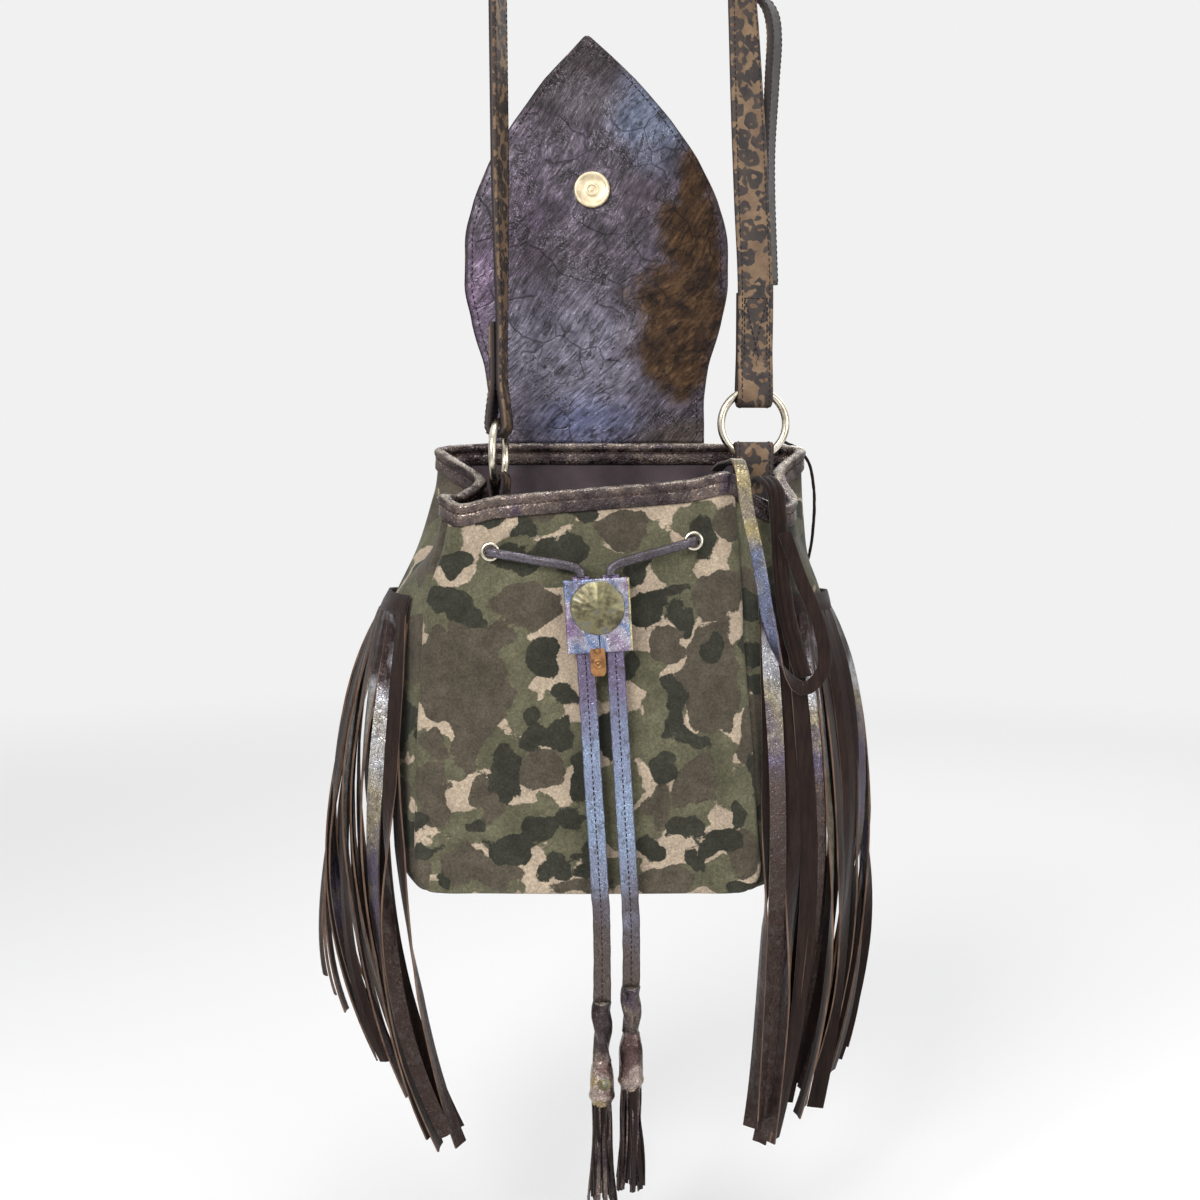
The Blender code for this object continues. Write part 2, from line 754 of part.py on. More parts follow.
def make_tassels(ends):
    """A wrapped leather head on each tail, over a bundle of cut strands."""
    for side, end in zip(("left", "right"), ends):
        top = end.z - GAP
        profile = [
            (0, 0),
            (CAP_NECK_R, -1 * MM),
            (CAP_NECK_R * 1.15, -CAP_H * 0.25),
            (CAP_NECK_R, -CAP_H * 0.5),
            (CAP_R * 0.85, -CAP_H * 0.56),
            (CAP_R, -CAP_H * 0.7),
            (CAP_R, -CAP_H * 0.92),
            (CAP_R * 0.9, -CAP_H),
            (0, -CAP_H),
        ]
        at = Matrix.Translation((end.x, end.y, top))
        turned(f"tassel_cap_{side}", profile, 14, "metallic leather", at)
        sections = []
        for k, (r, h) in enumerate(((0.62, 0), (0.8, 0.3), (0.92, 0.65), (1, 1))):
            ring = []
            for i in range(24):
                deep = 0.76 if i % 2 else 1
                a = math.tau * i / 24 + 0.06 * k
                rr = STRANDS_R * r * deep
                ring.append(
                    Vector(
                        (
                            end.x + rr * math.cos(a) * 0.86,
                            end.y + rr * math.sin(a) * 0.86,
                            top - CAP_H - GAP - STRANDS_H * h,
                        )
                    )
                )
            sections.append(ring)
        name = f"tassel_strands_{side}"
        place(name, loft(name, sections), "metallic leather")


def flap_half(s):
    values = [Vector((v * MM, 0)) for v in FLAP_HALF]
    return spline(values, s * (len(values) - 1)).x


def flap_at(x, s):
    """How far the flap bows forward at an X and a share of its height."""
    mid = FLAP_X + (FLAP_TIP_X - FLAP_X) * max(s - 0.45, 0) ** 2 / 0.3
    u = (x - mid) / flap_half(s)
    return FLAP_BOW * (1 - u * u) * math.sin(math.pi * min(s * 1.2, 1))


def flap_sheet(name, y, z_from, z_to, kind, parent=None, rows=10):
    """One layer of the flap between two heights above its seam."""
    outer, inner = [], []
    for r in range(rows):
        z = z_from + (z_to - z_from) * r / (rows - 1)
        s = max(z, 0) / FLAP_H
        half = flap_half(s)
        mid = FLAP_X + (FLAP_TIP_X - FLAP_X) * max(s - 0.45, 0) ** 2 / 0.3
        line, far = [], []
        for c in range(7):
            x = mid + half * (c / 3 - 1)
            bow = flap_at(x, s)
            line.append(Vector((x, y - bow, HINGE_Z + z)))
            far.append(Vector((x, y - bow + FLAP_LAYER, HINGE_Z + z)))
        outer.append(line)
        inner.append(far)
    return place(name, slab(name, outer, inner), kind, parent)


def make_flap():
    """Two hide layers standing up from a root that is sewn behind the back panel."""
    thick = 2 * FLAP_LAYER + GAP
    hinge = Vector((FLAP_X, FLAP_Y + thick + GAP, HINGE_Z))
    parent = pivot("flap_hinge", hinge)
    flap_sheet("flap_inner", FLAP_Y, GAP, FLAP_H, "hide", parent)
    flap_sheet("flap_outer", FLAP_Y + FLAP_LAYER + GAP, GAP, FLAP_H, "hide", parent)
    half = flap_half(0)
    rows = []
    for z in (HINGE_Z - GAP, HINGE_Z - FLAP_ROOT_H):
        rows.append(
            [
                Vector((FLAP_X - half, FLAP_Y, z)),
                Vector((FLAP_X + half, FLAP_Y, z)),
                Vector((FLAP_X + half, FLAP_Y + thick, z)),
                Vector((FLAP_X - half, FLAP_Y + thick, z)),
            ]
        )
    place("flap_root", loft("flap_root", rows), "hide")
    x, z = SNAP_AT
    s = (z - HINGE_Z) / FLAP_H
    rise = (flap_at(x, s + 0.02) - flap_at(x, s - 0.02)) / (0.04 * FLAP_H)
    at = Vector((x, FLAP_Y - flap_at(x, s) - GAP - 0.15 * MM, z))
    disc = [
        (0, SNAP_H * 0.55),
        (2.2 * MM, SNAP_H * 0.55),
        (2.9 * MM, SNAP_H * 0.8),
        (SNAP_R - 2.2 * MM, SNAP_H * 0.85),
        (SNAP_R - 1.2 * MM, SNAP_H),
        (SNAP_R, SNAP_H * 0.5),
        (SNAP_R - 0.4 * MM, 0),
        (0, 0),
    ]
    turned("snap_disc", disc, 22, "brass", facing(at, (0, -1, -rise)), parent)


def across(turn):
    """The direction of a strap's width and of its front face, for a turn about Z."""
    return (
        Vector((math.cos(turn), math.sin(turn), 0)),
        Vector((math.sin(turn), -math.cos(turn), 0)),
    )


def ring(name, centre, turn):
    bpy.ops.mesh.primitive_torus_add(
        major_segments=30, minor_segments=6, major_radius=RING_R, minor_radius=WIRE_R
    )
    made = bpy.context.active_object
    mesh = made.data
    bpy.data.objects.remove(made)
    w, n = across(turn)
    obj = place(name, mesh, "nickel")
    obj.matrix_world = Matrix.Translation(centre) @ Matrix(
        (w, Vector((0, 0, 1)), n)
    ).transposed().to_4x4()
    return obj


def dip(width):
    """How far the wire falls away at the edges of a strap laid over the ring."""
    return RING_R - math.sqrt(RING_R**2 - (width / 2) ** 2)


def bight(centre, up, thick, width, legs, apart, wire=WIRE_R, drop=None):
    """A strap's turn round a wire, in its own plane: (offset, height) points from
    one leg to the other. up is 1 where the legs go up and -1 where they go down."""
    drop = dip(width) if drop is None else drop
    r = wire + RING_PLAY + thick / 2
    z = centre - up * drop
    turn = [
        (-r * math.cos(math.pi * k / 5), z - up * r * math.sin(math.pi * k / 5))
        for k in range(6)
    ]
    first = [(-apart, z + up * legs), (-apart, z + up * 5.2 * r), (-apart * 1.3, z + up * 4 * r)]
    first += [(-r * 0.85, z + up * 2 * r)]
    return first + turn + [(-x, h) for x, h in first[::-1]]


def make_tab(name, centre, turn, kind="strap leather"):
    """A leather tab over the ring's lower wire, its doubled end down in the mouth."""
    w, n = across(turn)
    apart = (TAB_T + SEAM) / 2
    low = centre.z - RING_R
    pts = bight(low, -1, TAB_T, TAB_W, TAB_DROP, apart)
    path = [(Vector((centre.x, centre.y, 0)) + n * a + Vector((0, 0, h)), w) for a, h in pts]
    place(name, ribbon(name, path, TAB_W, TAB_T), kind)


def make_straps():
    """The long strap from the left ring over the top to the buckle, and the short
    one from the right ring up to the buckle, over its bar and free behind."""
    apart = (STRAP_T + SEAM) / 2
    up = Vector((0, 0, 1))

    lw, ln = across(LEFT_TURN)
    foot = Vector((LEFT_RING.x, LEFT_RING.y, 0))
    pts = bight(LEFT_RING.z + RING_R, 1, STRAP_T, STRAP_W, DOUBLED, apart)
    pts[-1] = (apart, pts[-1][1] + 5 * MM)
    path = [(foot + ln * a + up * h, lw) for a, h in pts]
    centre = STRAP_T / 2 - ARCH_R
    start = path[-1][0]
    for s, turn in ((0.12, math.radians(76)), (0.3, LEFT_FACE_TURN), (0.7, LEFT_FACE_TURN)):
        p = start.lerp(Vector((-ARCH_R, 0, centre)), s)
        path.append((p, across(turn)[0]))
    for k in range(13):
        a = math.pi * (1 - k / 12)
        turn = math.pi / 2 - max(0, k / 6 - 1) * (math.pi / 2 - BUCKLE_TURN)
        p = Vector((ARCH_R * math.cos(a), 0, centre + ARCH_R * math.sin(a)))
        path.append((p, across(turn)[0]))
    bw, bn = across(BUCKLE_TURN)
    top_bar = BUCKLE_Z + BUCKLE_H / 2
    hold = Vector((ARCH_R, 0, 0))
    near = bight(top_bar, 1, STRAP_T, STRAP_W, 26 * MM, apart, BUCKLE_WIRE_R, 0)
    near = [(-a, h) for a, h in near[1:]]
    path += [(hold + bn * a + up * h, bw) for a, h in near]
    place("strap_long", ribbon("strap_long", path, STRAP_W, STRAP_T), "strap leather")

    rw, rn = across(RIGHT_TURN)
    foot = Vector((RIGHT_RING.x, RIGHT_RING.y, 0))
    pts = bight(RIGHT_RING.z + RING_R, 1, STRAP_T, STRAP_W, DOUBLED, apart)
    pts[-1] = (apart, pts[-1][1] + 5 * MM)
    path = [(foot + rn * a + up * h, rw) for a, h in pts]
    start = path[-1][0]
    low_bar = BUCKLE_Z - BUCKLE_H / 2
    over = bight(low_bar, -1, STRAP_T, STRAP_W, 30 * MM, apart, BUCKLE_WIRE_R, 0)
    over = [(-a, h) for a, h in over]
    meet = hold + bn * over[2][0] + up * over[2][1]
    for s in (0.25, 0.5, 0.75, 0.9):
        turn = RIGHT_TURN + (BUCKLE_TURN - RIGHT_TURN) * s**1.6
        path.append((start.lerp(meet, s), across(turn)[0]))
    path += [(hold + bn * a + up * h, bw) for a, h in over[3:10]]
    for x, y, z, turn in (
        (-3.4, 3.4, low_bar / MM - 7, 45),
        (-2.5, 10.5, low_bar / MM - 16, 47),
        (4, 18.5, low_bar / MM - 25, 51),
        (15, 24, low_bar / MM - 35, 56),
        (23.5, 25, low_bar / MM - 45, 61),
        (26.4, 23, low_bar / MM - 60, 66),
        (25, 20, low_bar / MM - 92, 68),
        (22.9, 19, low_bar / MM - 141, 70),
        (25.6, 18, FREE_TAIL_Z / MM, 70),
    ):
        p = hold + Vector((x * MM, y * MM, z * MM))
        path.append((p, across(math.radians(turn))[0]))
    place("strap_short", ribbon("strap_short", path, STRAP_W, STRAP_T), "strap leather")

    corners = []
    for sw, sh in ((-1, 1), (1, 1), (1, -1), (-1, -1)):
        for k in range(4):
            a = math.atan2(sh, sw) + (math.radians(30 * k - 45) * -1)
            c = hold + up * BUCKLE_Z + bw * sw * (BUCKLE_W / 2 - 4 * MM)
            c = c + up * sh * (BUCKLE_H / 2 - 4 * MM)
            corners.append(c + (bw * math.cos(a) + up * math.sin(a)) * 4 * MM)
    sections = []
    for i, p in enumerate(corners):
        along = (corners[(i + 1) % 16] - corners[i - 1]).normalized()
        side = along.cross(bn)
        sections.append(
            [
                p
                + (side * math.cos(a) + bn * math.sin(a)) * BUCKLE_WIRE_R
                for a in (math.tau * j / 8 for j in range(8))
            ]
        )
    place("strap_buckle", loft("strap_buckle", sections, ring=True), "nickel")

    z = LEFT_RING.z + RING_R - dip(STRAP_W) + DOUBLED - 7 * MM
    at = Vector((LEFT_RING.x, 0, z)) - ln * (apart + STRAP_T / 2 + GAP)
    stud = [(0, 1.6 * MM), (RIVET_R * 0.6, 1.4 * MM), (RIVET_R, 0.4 * MM), (RIVET_R * 0.9, 0), (0, 0)]
    turned("strap_rivet", stud, 12, "dark suede", facing(at, -ln))


def bezier(p, s):
    a = 1 - s
    return p[0] * a**3 + p[1] * 3 * a * a * s + p[2] * 3 * a * s * s + p[3] * s**3


def make_fringe(name, side, edges, layer, front, back):
    """A leather band sewn across a gusset, cut below into hanging strips. front and
    back guide the strips at its two ends: how far two points on the way down stand
    off from the root, with their heights, and the X and Z of the tip."""
    clear = 0.85 * MM + layer * (STRIP_T + 2.5 * GAP)
    pitch = (edges[1] - edges[0]) / STRIPS
    top = FRINGE_TOP_Z + layer * 5 * MM
    points, cells, columns = [], [], []

    def pair(p, n):
        points.extend((p, p + n * STRIP_T))
        return len(points) - 2

    for i in range(STRIPS):
        for k in (0.06, 0.94):
            t = edges[0] + pitch * (i + k)
            line = []
            for z in (top, top - HEADER_H):
                q = q_of(t, z)
                line.append(pair(wall(t, q, clear), wall_normal(t, q)))
            columns.append(line)
    for a, b in zip(columns, columns[1:]):
        cells.append((a[0], b[0], b[1], a[1]))

    away = layer * 9 * MM
    guides = []
    for i in range(STRIPS):
        f = i / (STRIPS - 1)
        left, right = columns[2 * i][1], columns[2 * i + 1][1]
        root = (points[left] + points[right]) / 2
        n = points[left + 1] - points[left]
        n = Vector((n.x, n.y, 0)).normalized()
        far = (n + Vector((side, -0.6, 0))).normalized()
        g = [[(a + (b - a) * f) * MM for a, b in zip(p, q)] for p, q in zip(front, back)]
        drop = (math.sin(i * 2.4 + layer) * 11 + math.sin(i * 5.1) * 6) * MM
        first = root + n * (g[0][0] + away * 0.6)
        second = root + far * (g[1][0] + away)
        y = root.y - away * 0.6 - (1 - f) * 19 * MM
        tip = Vector((g[2][0] + side * away, y, g[2][1] + drop))
        first.z, second.z = g[0][1], g[1][1]
        guides.append((root, first, second, tip))
    last = [(columns[2 * i][1], columns[2 * i + 1][1]) for i in range(STRIPS)]
    widths = [(points[b] - points[a]).length for a, b in last]
    for s in (0.3, 0.65, 1):
        row = [bezier(g, s) for g in guides]
        for i, p in enumerate(row):
            a, b = row[max(i - 1, 0)], row[min(i + 1, STRIPS - 1)]
            along = Vector((b.x - a.x, b.y - a.y, 0))
            room = along.length / (min(i + 1, STRIPS - 1) - max(i - 1, 0))
            w = along.normalized()
            down = bezier(guides[i], min(s + 0.02, 1)) - bezier(guides[i], s - 0.02)
            n = w.cross(down).normalized()
            if n.x * side < 0:
                n = -n
            reach = w * (min(widths[i], room * 0.9) / 2)
            c, d = pair(p - reach, n), pair(p + reach, n)
            cells.append((last[i][0], last[i][1], d, c))
            last[i] = (c, d)
    faces, edge_use = [], {}
    for c in cells:
        faces.append(c)
        faces.append(tuple(i + 1 for i in c[::-1]))
        for a, b in zip(c, c[1:] + c[:1]):
            edge_use.setdefault(frozenset((a, b)), []).append((a, b))
    for uses in edge_use.values():
        if len(uses) == 1:
            a, b = uses[0]
            faces.append((b, a, a + 1, b + 1))
    place(name, closed_mesh(name, points, faces), "dark suede")


def make_laces():
    """Loose laces tied at the right tab."""
    bundle = [(91, -6, -482), (95, -20, -482), (99, -34, -489), (101, -37, -510)]
    bundle += [(102, -40, -532), (104.5, -44, -558), (110, -47, -583), (116, -47, -604)]
    pts = smooth_path([Vector(p) * MM for p in bundle], 12)
    flat = Vector((1, -0.3, 0))
    mesh = ribbon("lace_suede", [(p, flat) for p in pts], BUNDLE_W, BUNDLE_T)
    place("lace_suede", mesh, "dark suede")
    lace = [(68, 38, -476), (70, 15, -472), (73, -15, -470.5), (75, -44, -470.5)]
    lace += [(77, -54, -480), (79, -55, -497), (87, -56, -532), (93.7, -55, -570)]
    lace += [(104, -53, -600), (116, -51, -611), (128, -49, -600), (127, -47, -576)]
    lace += [(112, -45.5, -538), (104, -43.2, -514)]
    pts = smooth_path([Vector(p) * MM for p in lace], 36)
    path = []
    for i, p in enumerate(pts):
        s = i / 35
        a, b = pts[max(i - 1, 0)], pts[min(i + 1, 35)]
        along = (b - a).normalized()
        w = along.cross(Vector((0, -1, 0.15)))
        if s < 0.3:
            w = along * along.x - Vector((1, 0, 0))
        path.append((p, w.normalized()))
    place("lace_metallic", ribbon("lace_metallic", path, LACE_W, LACE_T), "metallic leather")
    rear = [(107, 36, -466), (109, 38.6, -459.5), (112, 43, -457), (117, 48, -458.5)]
    rear += [(124, 50.5, -462), (131, 51, -471), (134.8, 51, -489), (134.6, 51, -515)]
    rear += [(131, 51, -538), (124, 51.5, -552)]
    tube("lace_rear", smooth_path([Vector(p) * MM for p in rear], 20), THONG_D, "dark suede")


front_panel = wall_panel("front_panel", FRONT_EDGES, FRONT_T)
back_panel = wall_panel("back_panel", BACK_EDGES, BACK_T)
wall_panel("gusset_right", (FRONT_EDGES[1], BACK_EDGES[0]), RIGHT_T)
wall_panel("gusset_left", (BACK_EDGES[1], FRONT_EDGES[0] + COUNT), LEFT_T)
lining = make_lining()
make_base()
make_binding()
front_holes = [
    eyelet(f"eyelet_front_{side}", x, z, FRONT_EDGES, (front_panel, lining))
    for side, (x, z) in zip(("left", "right"), FRONT_EYELETS)
]
back_holes = [
    eyelet(f"eyelet_back_{side}", x, z, BACK_EDGES, (back_panel, lining))
    for side, (x, z) in zip(("left", "right"), BACK_EYELETS)
]
tail_lean, tail_level = make_drawstring(front_holes, back_holes)
tail_ends = make_tails(tail_lean, tail_level)
make_slider(tail_lean, tail_level)
make_tassels(tail_ends)
make_flap()
ring("ring_left", LEFT_RING, LEFT_TURN)
ring("ring_right", RIGHT_RING, RIGHT_TURN)
make_tab("ring_tab_left", LEFT_RING, LEFT_TURN)
make_tab("ring_tab_right", RIGHT_RING, RIGHT_TURN)
make_straps()
LEFT_FRINGE = (
    ((7, -640), (23, -780), (-98, -905)),
    ((38, -612), (56, -740), (-184, -825)),
)
RIGHT_FRINGE = (
    ((6, -640), (17, -770), (84, -892)),
    ((26, -612), (34, -740), (142, -872)),
)
for layer, which in enumerate(("inner", "outer")):
    make_fringe(f"fringe_left_{which}", -1, (18.75, 15.1), layer, *LEFT_FRINGE)
    make_fringe(f"fringe_right_{which}", 1, (5.2, 8.9), layer, *RIGHT_FRINGE)
make_laces()
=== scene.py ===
"""The looks of the fringed suede bag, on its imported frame. Metres, +Z up, -Y front."""
import json
import math
import bmesh
import bpy
import numpy as np
from mathutils import Matrix, Vector, noise


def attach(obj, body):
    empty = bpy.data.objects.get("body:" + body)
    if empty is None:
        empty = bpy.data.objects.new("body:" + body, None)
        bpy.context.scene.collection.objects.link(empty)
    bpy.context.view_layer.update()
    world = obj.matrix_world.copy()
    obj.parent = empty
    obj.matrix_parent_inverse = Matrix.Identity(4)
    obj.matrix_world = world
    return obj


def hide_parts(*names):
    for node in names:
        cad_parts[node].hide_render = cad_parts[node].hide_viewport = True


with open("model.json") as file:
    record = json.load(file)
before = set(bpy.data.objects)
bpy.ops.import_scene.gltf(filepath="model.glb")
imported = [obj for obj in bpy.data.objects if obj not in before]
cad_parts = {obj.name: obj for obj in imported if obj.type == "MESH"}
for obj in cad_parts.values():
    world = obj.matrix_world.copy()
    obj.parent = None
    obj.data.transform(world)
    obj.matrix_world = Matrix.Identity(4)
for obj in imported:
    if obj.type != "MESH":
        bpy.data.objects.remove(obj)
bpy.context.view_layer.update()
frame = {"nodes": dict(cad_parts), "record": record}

BODY = {n: b for b, ns in frame["record"]["behaviour"]["bodies"].items() for n in ns}


# ---- materials ------------------------------------------------------------
class Nodes:
    """Short calls for one material's nodes."""

    def __init__(self, name, colour=(0.5, 0.5, 0.5), rough=0.5, metal=0.0, spec=0.5):
        self.mat = bpy.data.materials.new(name)
        self.mat.use_nodes = True
        self.tree = self.mat.node_tree
        self.shader = self.tree.nodes["Principled BSDF"]
        self.set("Base Color", (*colour, 1))
        self.set("Roughness", rough)
        self.set("Metallic", metal)
        self.set("Specular IOR Level", spec)
        self.coords = self.tree.nodes.new("ShaderNodeTexCoord").outputs["Object"]

    def set(self, socket, value):
        if hasattr(value, "node"):
            self.tree.links.new(value, self.shader.inputs[socket])
        else:
            self.shader.inputs[socket].default_value = value

    def node(self, kind, **sockets):
        n = self.tree.nodes.new(kind)
        for k, v in sockets.items():
            k = int(k[1:]) if k[0] == "i" and k[1:].isdigit() else k.replace("_", " ")
            if hasattr(v, "node"):
                self.tree.links.new(v, n.inputs[k])
            else:
                n.inputs[k].default_value = v
        return n

    def attr(self, name):
        n = self.tree.nodes.new("ShaderNodeAttribute")
        n.attribute_name = name
        return n.outputs["Fac"]

    def noise(self, scale, detail=2.0, rough=0.5, vec=None, warp=0.0, w=None):
        n = self.node("ShaderNodeTexNoise", Scale=scale, Detail=detail, Roughness=rough,
                      Distortion=warp, Vector=self.coords if vec is None else vec)
        return n.outputs["Fac"]

    def colour_noise(self, scale, detail=2.0):
        n = self.node("ShaderNodeTexNoise", Scale=scale, Detail=detail, Vector=self.coords)
        return n.outputs["Color"]

    def voronoi(self, scale, feature="F1", vec=None, rand=1.0, out="Distance", smooth=None):
        n = self.tree.nodes.new("ShaderNodeTexVoronoi")
        n.feature = feature
        n.inputs["Scale"].default_value = scale
        n.inputs["Randomness"].default_value = rand
        if smooth is not None:
            n.inputs["Smoothness"].default_value = smooth
        self.tree.links.new(self.coords if vec is None else vec, n.inputs["Vector"])
        return n.outputs[out]

    def math(self, op, a, b=0.0, c=0.0, clamp=False):
        n = self.tree.nodes.new("ShaderNodeMath")
        n.operation = op
        n.use_clamp = clamp
        for i, v in enumerate((a, b, c)):
            if hasattr(v, "node"):
                self.tree.links.new(v, n.inputs[i])
            else:
                n.inputs[i].default_value = v
        return n.outputs[0]

    def vmath(self, op, a, b):
        n = self.tree.nodes.new("ShaderNodeVectorMath")
        n.operation = op
        for i, v in enumerate((a, b)):
            if hasattr(v, "node"):
                self.tree.links.new(v, n.inputs[i])
            else:
                n.inputs[i].default_value = v
        return n.outputs[0]

    def joined(self, x, y, z=0.0):
        return self.node("ShaderNodeCombineXYZ", X=x, Y=y, Z=z).outputs[0]

    def stretch(self, x=1.0, y=1.0, z=1.0, at=(0, 0, 0), turn=(0, 0, 0), vec=None):
        n = self.node("ShaderNodeMapping", Vector=self.coords if vec is None else vec)
        n.inputs["Scale"].default_value = (x, y, z)
        n.inputs["Location"].default_value = at
        n.inputs["Rotation"].default_value = turn
        return n.outputs[0]

    def warped(self, scale, size, vec=None):
        v = self.coords if vec is None else vec
        c = self.node("ShaderNodeTexNoise", Scale=scale, Detail=1.0, Vector=v).outputs["Color"]
        return self.vmath("ADD", v, self.vmath("MULTIPLY", self.vmath("SUBTRACT", c, (0.5,) * 3), (size,) * 3))

    def ramp(self, fac, *stops, kind="LINEAR"):
        n = self.tree.nodes.new("ShaderNodeValToRGB")
        n.color_ramp.interpolation = kind
        e = n.color_ramp.elements
        while len(e) < len(stops):
            e.new(0.5)
        for el, (at, col) in zip(e, stops):
            el.position = at
            el.color = (*col, 1) if isinstance(col, tuple) else (col, col, col, 1)
        self.tree.links.new(fac, n.inputs[0])
        return n.outputs[0]

    def mix(self, fac, a, b, kind="MIX"):
        n = self.tree.nodes.new("ShaderNodeMix")
        n.data_type = "RGBA"
        n.blend_type = kind
        for k, v in ((0, fac), (6, a), (7, b)):
            if hasattr(v, "node"):
                self.tree.links.new(v, n.inputs[k])
            elif k == 0:
                n.inputs[k].default_value = v
            else:
                n.inputs[k].default_value = (*v, 1)
        return n.outputs[2]

    def step(self, v, edge, soft=0.02):
        """0 below the edge, 1 above it."""
        n = self.tree.nodes.new("ShaderNodeMapRange")
        n.interpolation_type = "SMOOTHSTEP"
        self.tree.links.new(v, n.inputs[0])
        n.inputs[1].default_value = edge - soft
        n.inputs[2].default_value = edge + soft
        return n.outputs[0]

    def bump(self, *heights):
        """Each height is (socket, strength, distance)."""
        last = None
        for h, strength, dist in heights:
            n = self.tree.nodes.new("ShaderNodeBump")
            n.inputs["Strength"].default_value = strength
            n.inputs["Distance"].default_value = dist
            self.tree.links.new(h, n.inputs["Height"])
            if last:
                self.tree.links.new(last, n.inputs["Normal"])
            last = n.outputs[0]
        self.tree.links.new(last, self.shader.inputs["Normal"])


# ---- sizes and the wall, as in the solids -----------------------------------
MM = 0.001
GAP = 0.35 * MM  # between sewn or resting pieces

# Suede walls
SUEDE = 1.6 * MM
LINING = 0.8 * MM
LINING_IN = SUEDE + 1.4 * GAP  # from the outside of the suede
BOTTOM_Z = -742 * MM
MIDDLE_Z = -575 * MM  # the height where the bag is fullest
CORNER_R = 19 * MM  # bottom corners, seen from the front
CORNER_TURN = math.radians(72)

# Front panel, its left and right edges at the bottom, the middle and the rim
FRONT_Y = -45 * MM
FRONT_LEFT = (-133 * MM, -126 * MM, -109 * MM)
FRONT_RIGHT = (96 * MM, 85 * MM, 80 * MM)
FRONT_SWELL = 4 * MM
FRONT_RIM_Z = (-500 * MM, -480 * MM)  # left and right

# Back panel
BACK_Y = 45 * MM
BACK_LEFT = (-136 * MM, -142 * MM, -118 * MM)
BACK_RIGHT = (110 * MM, 130 * MM, 124 * MM)
BACK_SWELL = 3 * MM
BACK_RIM_Z = -461.5 * MM

# Gusset folds at the rim
LEFT_FOLD = (-89 * MM, 2 * MM)
RIGHT_FOLD = (106.4 * MM, 4 * MM)

# Rim binding
BINDING = 1.2 * MM
BINDING_DEPTH = 10.5 * MM
ROLL = 1.1 * MM  # how far the rolled top stands out beyond the flat part

# Eyelets: X and Z of each centre
EYELET_HOLE_R = 3.4 * MM
EYELET_RIM_R = 6.1 * MM
EYELET_TUBE = 0.6 * MM
EYELET_FLANGE = 1.3 * MM
FRONT_EYELETS = ((-78.3 * MM, -526.1 * MM), (47.6 * MM, -519.3 * MM))
BACK_EYELETS = ((-90 * MM, -487 * MM), (65 * MM, -487 * MM))

# Drawstring
STRING_D = 5.2 * MM
TAIL_W = 11.2 * MM
TAIL_T = 2.6 * MM
TAIL_Y = -57 * MM
TAIL_LEAN = math.radians(3.4)
TAIL_APART = 18.4 * MM
TAIL_END_Z = (-808 * MM, -798 * MM)
TAIL_END_X = (-9.1 * MM, 9.1 * MM)
TAIL_STRAIGHT = 215 * MM

# Slider
SLIDER_AT = Vector((-11.6 * MM, TAIL_Y, -564.5 * MM))
SLIDER_W = 40 * MM
SLIDER_H = 45 * MM
SLIDER_SKIN = 1.5 * MM
SLIDER_PLAY = 0.4 * MM
CONCHO_R = 16.6 * MM
CONCHO_DOME = 3.2 * MM
CONCHO_RIM = 1.0 * MM
CONCHO_UP = 5 * MM  # the disc's centre above the slider's
POST_R = 1.8 * MM
TAG_W = 9.2 * MM
TAG_H = 17 * MM
TAG_T = 0.8 * MM
TAG_OVERLAP = 2.5 * MM

# Tassels
CAP_H = 66 * MM
CAP_R = 7.6 * MM
CAP_NECK_R = 5.4 * MM
STRANDS_H = 66 * MM
STRANDS_R = 10.5 * MM

# Flap: half widths up its height
FLAP_LAYER = 1.4 * MM
FLAP_Y = 49.3 * MM
FLAP_X = -12.8 * MM
FLAP_H = 269 * MM
FLAP_TIP_X = -19 * MM
FLAP_HALF = (72, 71.8, 75, 83, 87.4, 87.2, 81, 69, 51, 29, 1.2)
FLAP_ROOT_H = 20 * MM
FLAP_BOW = 4 * MM
HINGE_Z = -459 * MM
SNAP_R = 12 * MM
SNAP_H = 2.6 * MM
SNAP_AT = (-15.7 * MM, -290.5 * MM)

# Rings
WIRE_R = 2.5 * MM
RING_R = 21.1 * MM
RING_PLAY = 0.6 * MM
LEFT_RING = Vector((-75.5 * MM, 0, -465 * MM))
RIGHT_RING = Vector((88.4 * MM, 0, -446 * MM))
LEFT_TURN = math.radians(82)
LEFT_FACE_TURN = math.radians(70)  # higher up, where the strap shows its face
RIGHT_TURN = math.radians(6)

# Strap and tabs
STRAP_W = 25 * MM
STRAP_T = 4.2 * MM
SEAM = 0.4 * MM  # between the two layers of a doubled end
ARCH_R = 75.4 * MM
DOUBLED = 66 * MM  # length of the doubled, stitched ends
TAB_T = 2.4 * MM
TAB_W = 25 * MM
TAB_DROP = 42 * MM
BUCKLE_Z = -122 * MM
BUCKLE_WIRE_R = 2 * MM
BUCKLE_H = 26 * MM
BUCKLE_W = STRAP_W + 2 * BUCKLE_WIRE_R + 4 * MM
BUCKLE_TURN = math.radians(45)
FREE_TAIL_Z = -355 * MM
RIVET_R = 3.2 * MM

# Fringe
FRINGE_TOP_Z = -560 * MM
HEADER_H = 12 * MM
STRIP_T = 1.4 * MM
STRIPS = 12

# Laces
LACE_W = 8.5 * MM
LACE_T = 1.6 * MM
BUNDLE_W = 11 * MM
BUNDLE_T = 4 * MM
THONG_D = 2.6 * MM


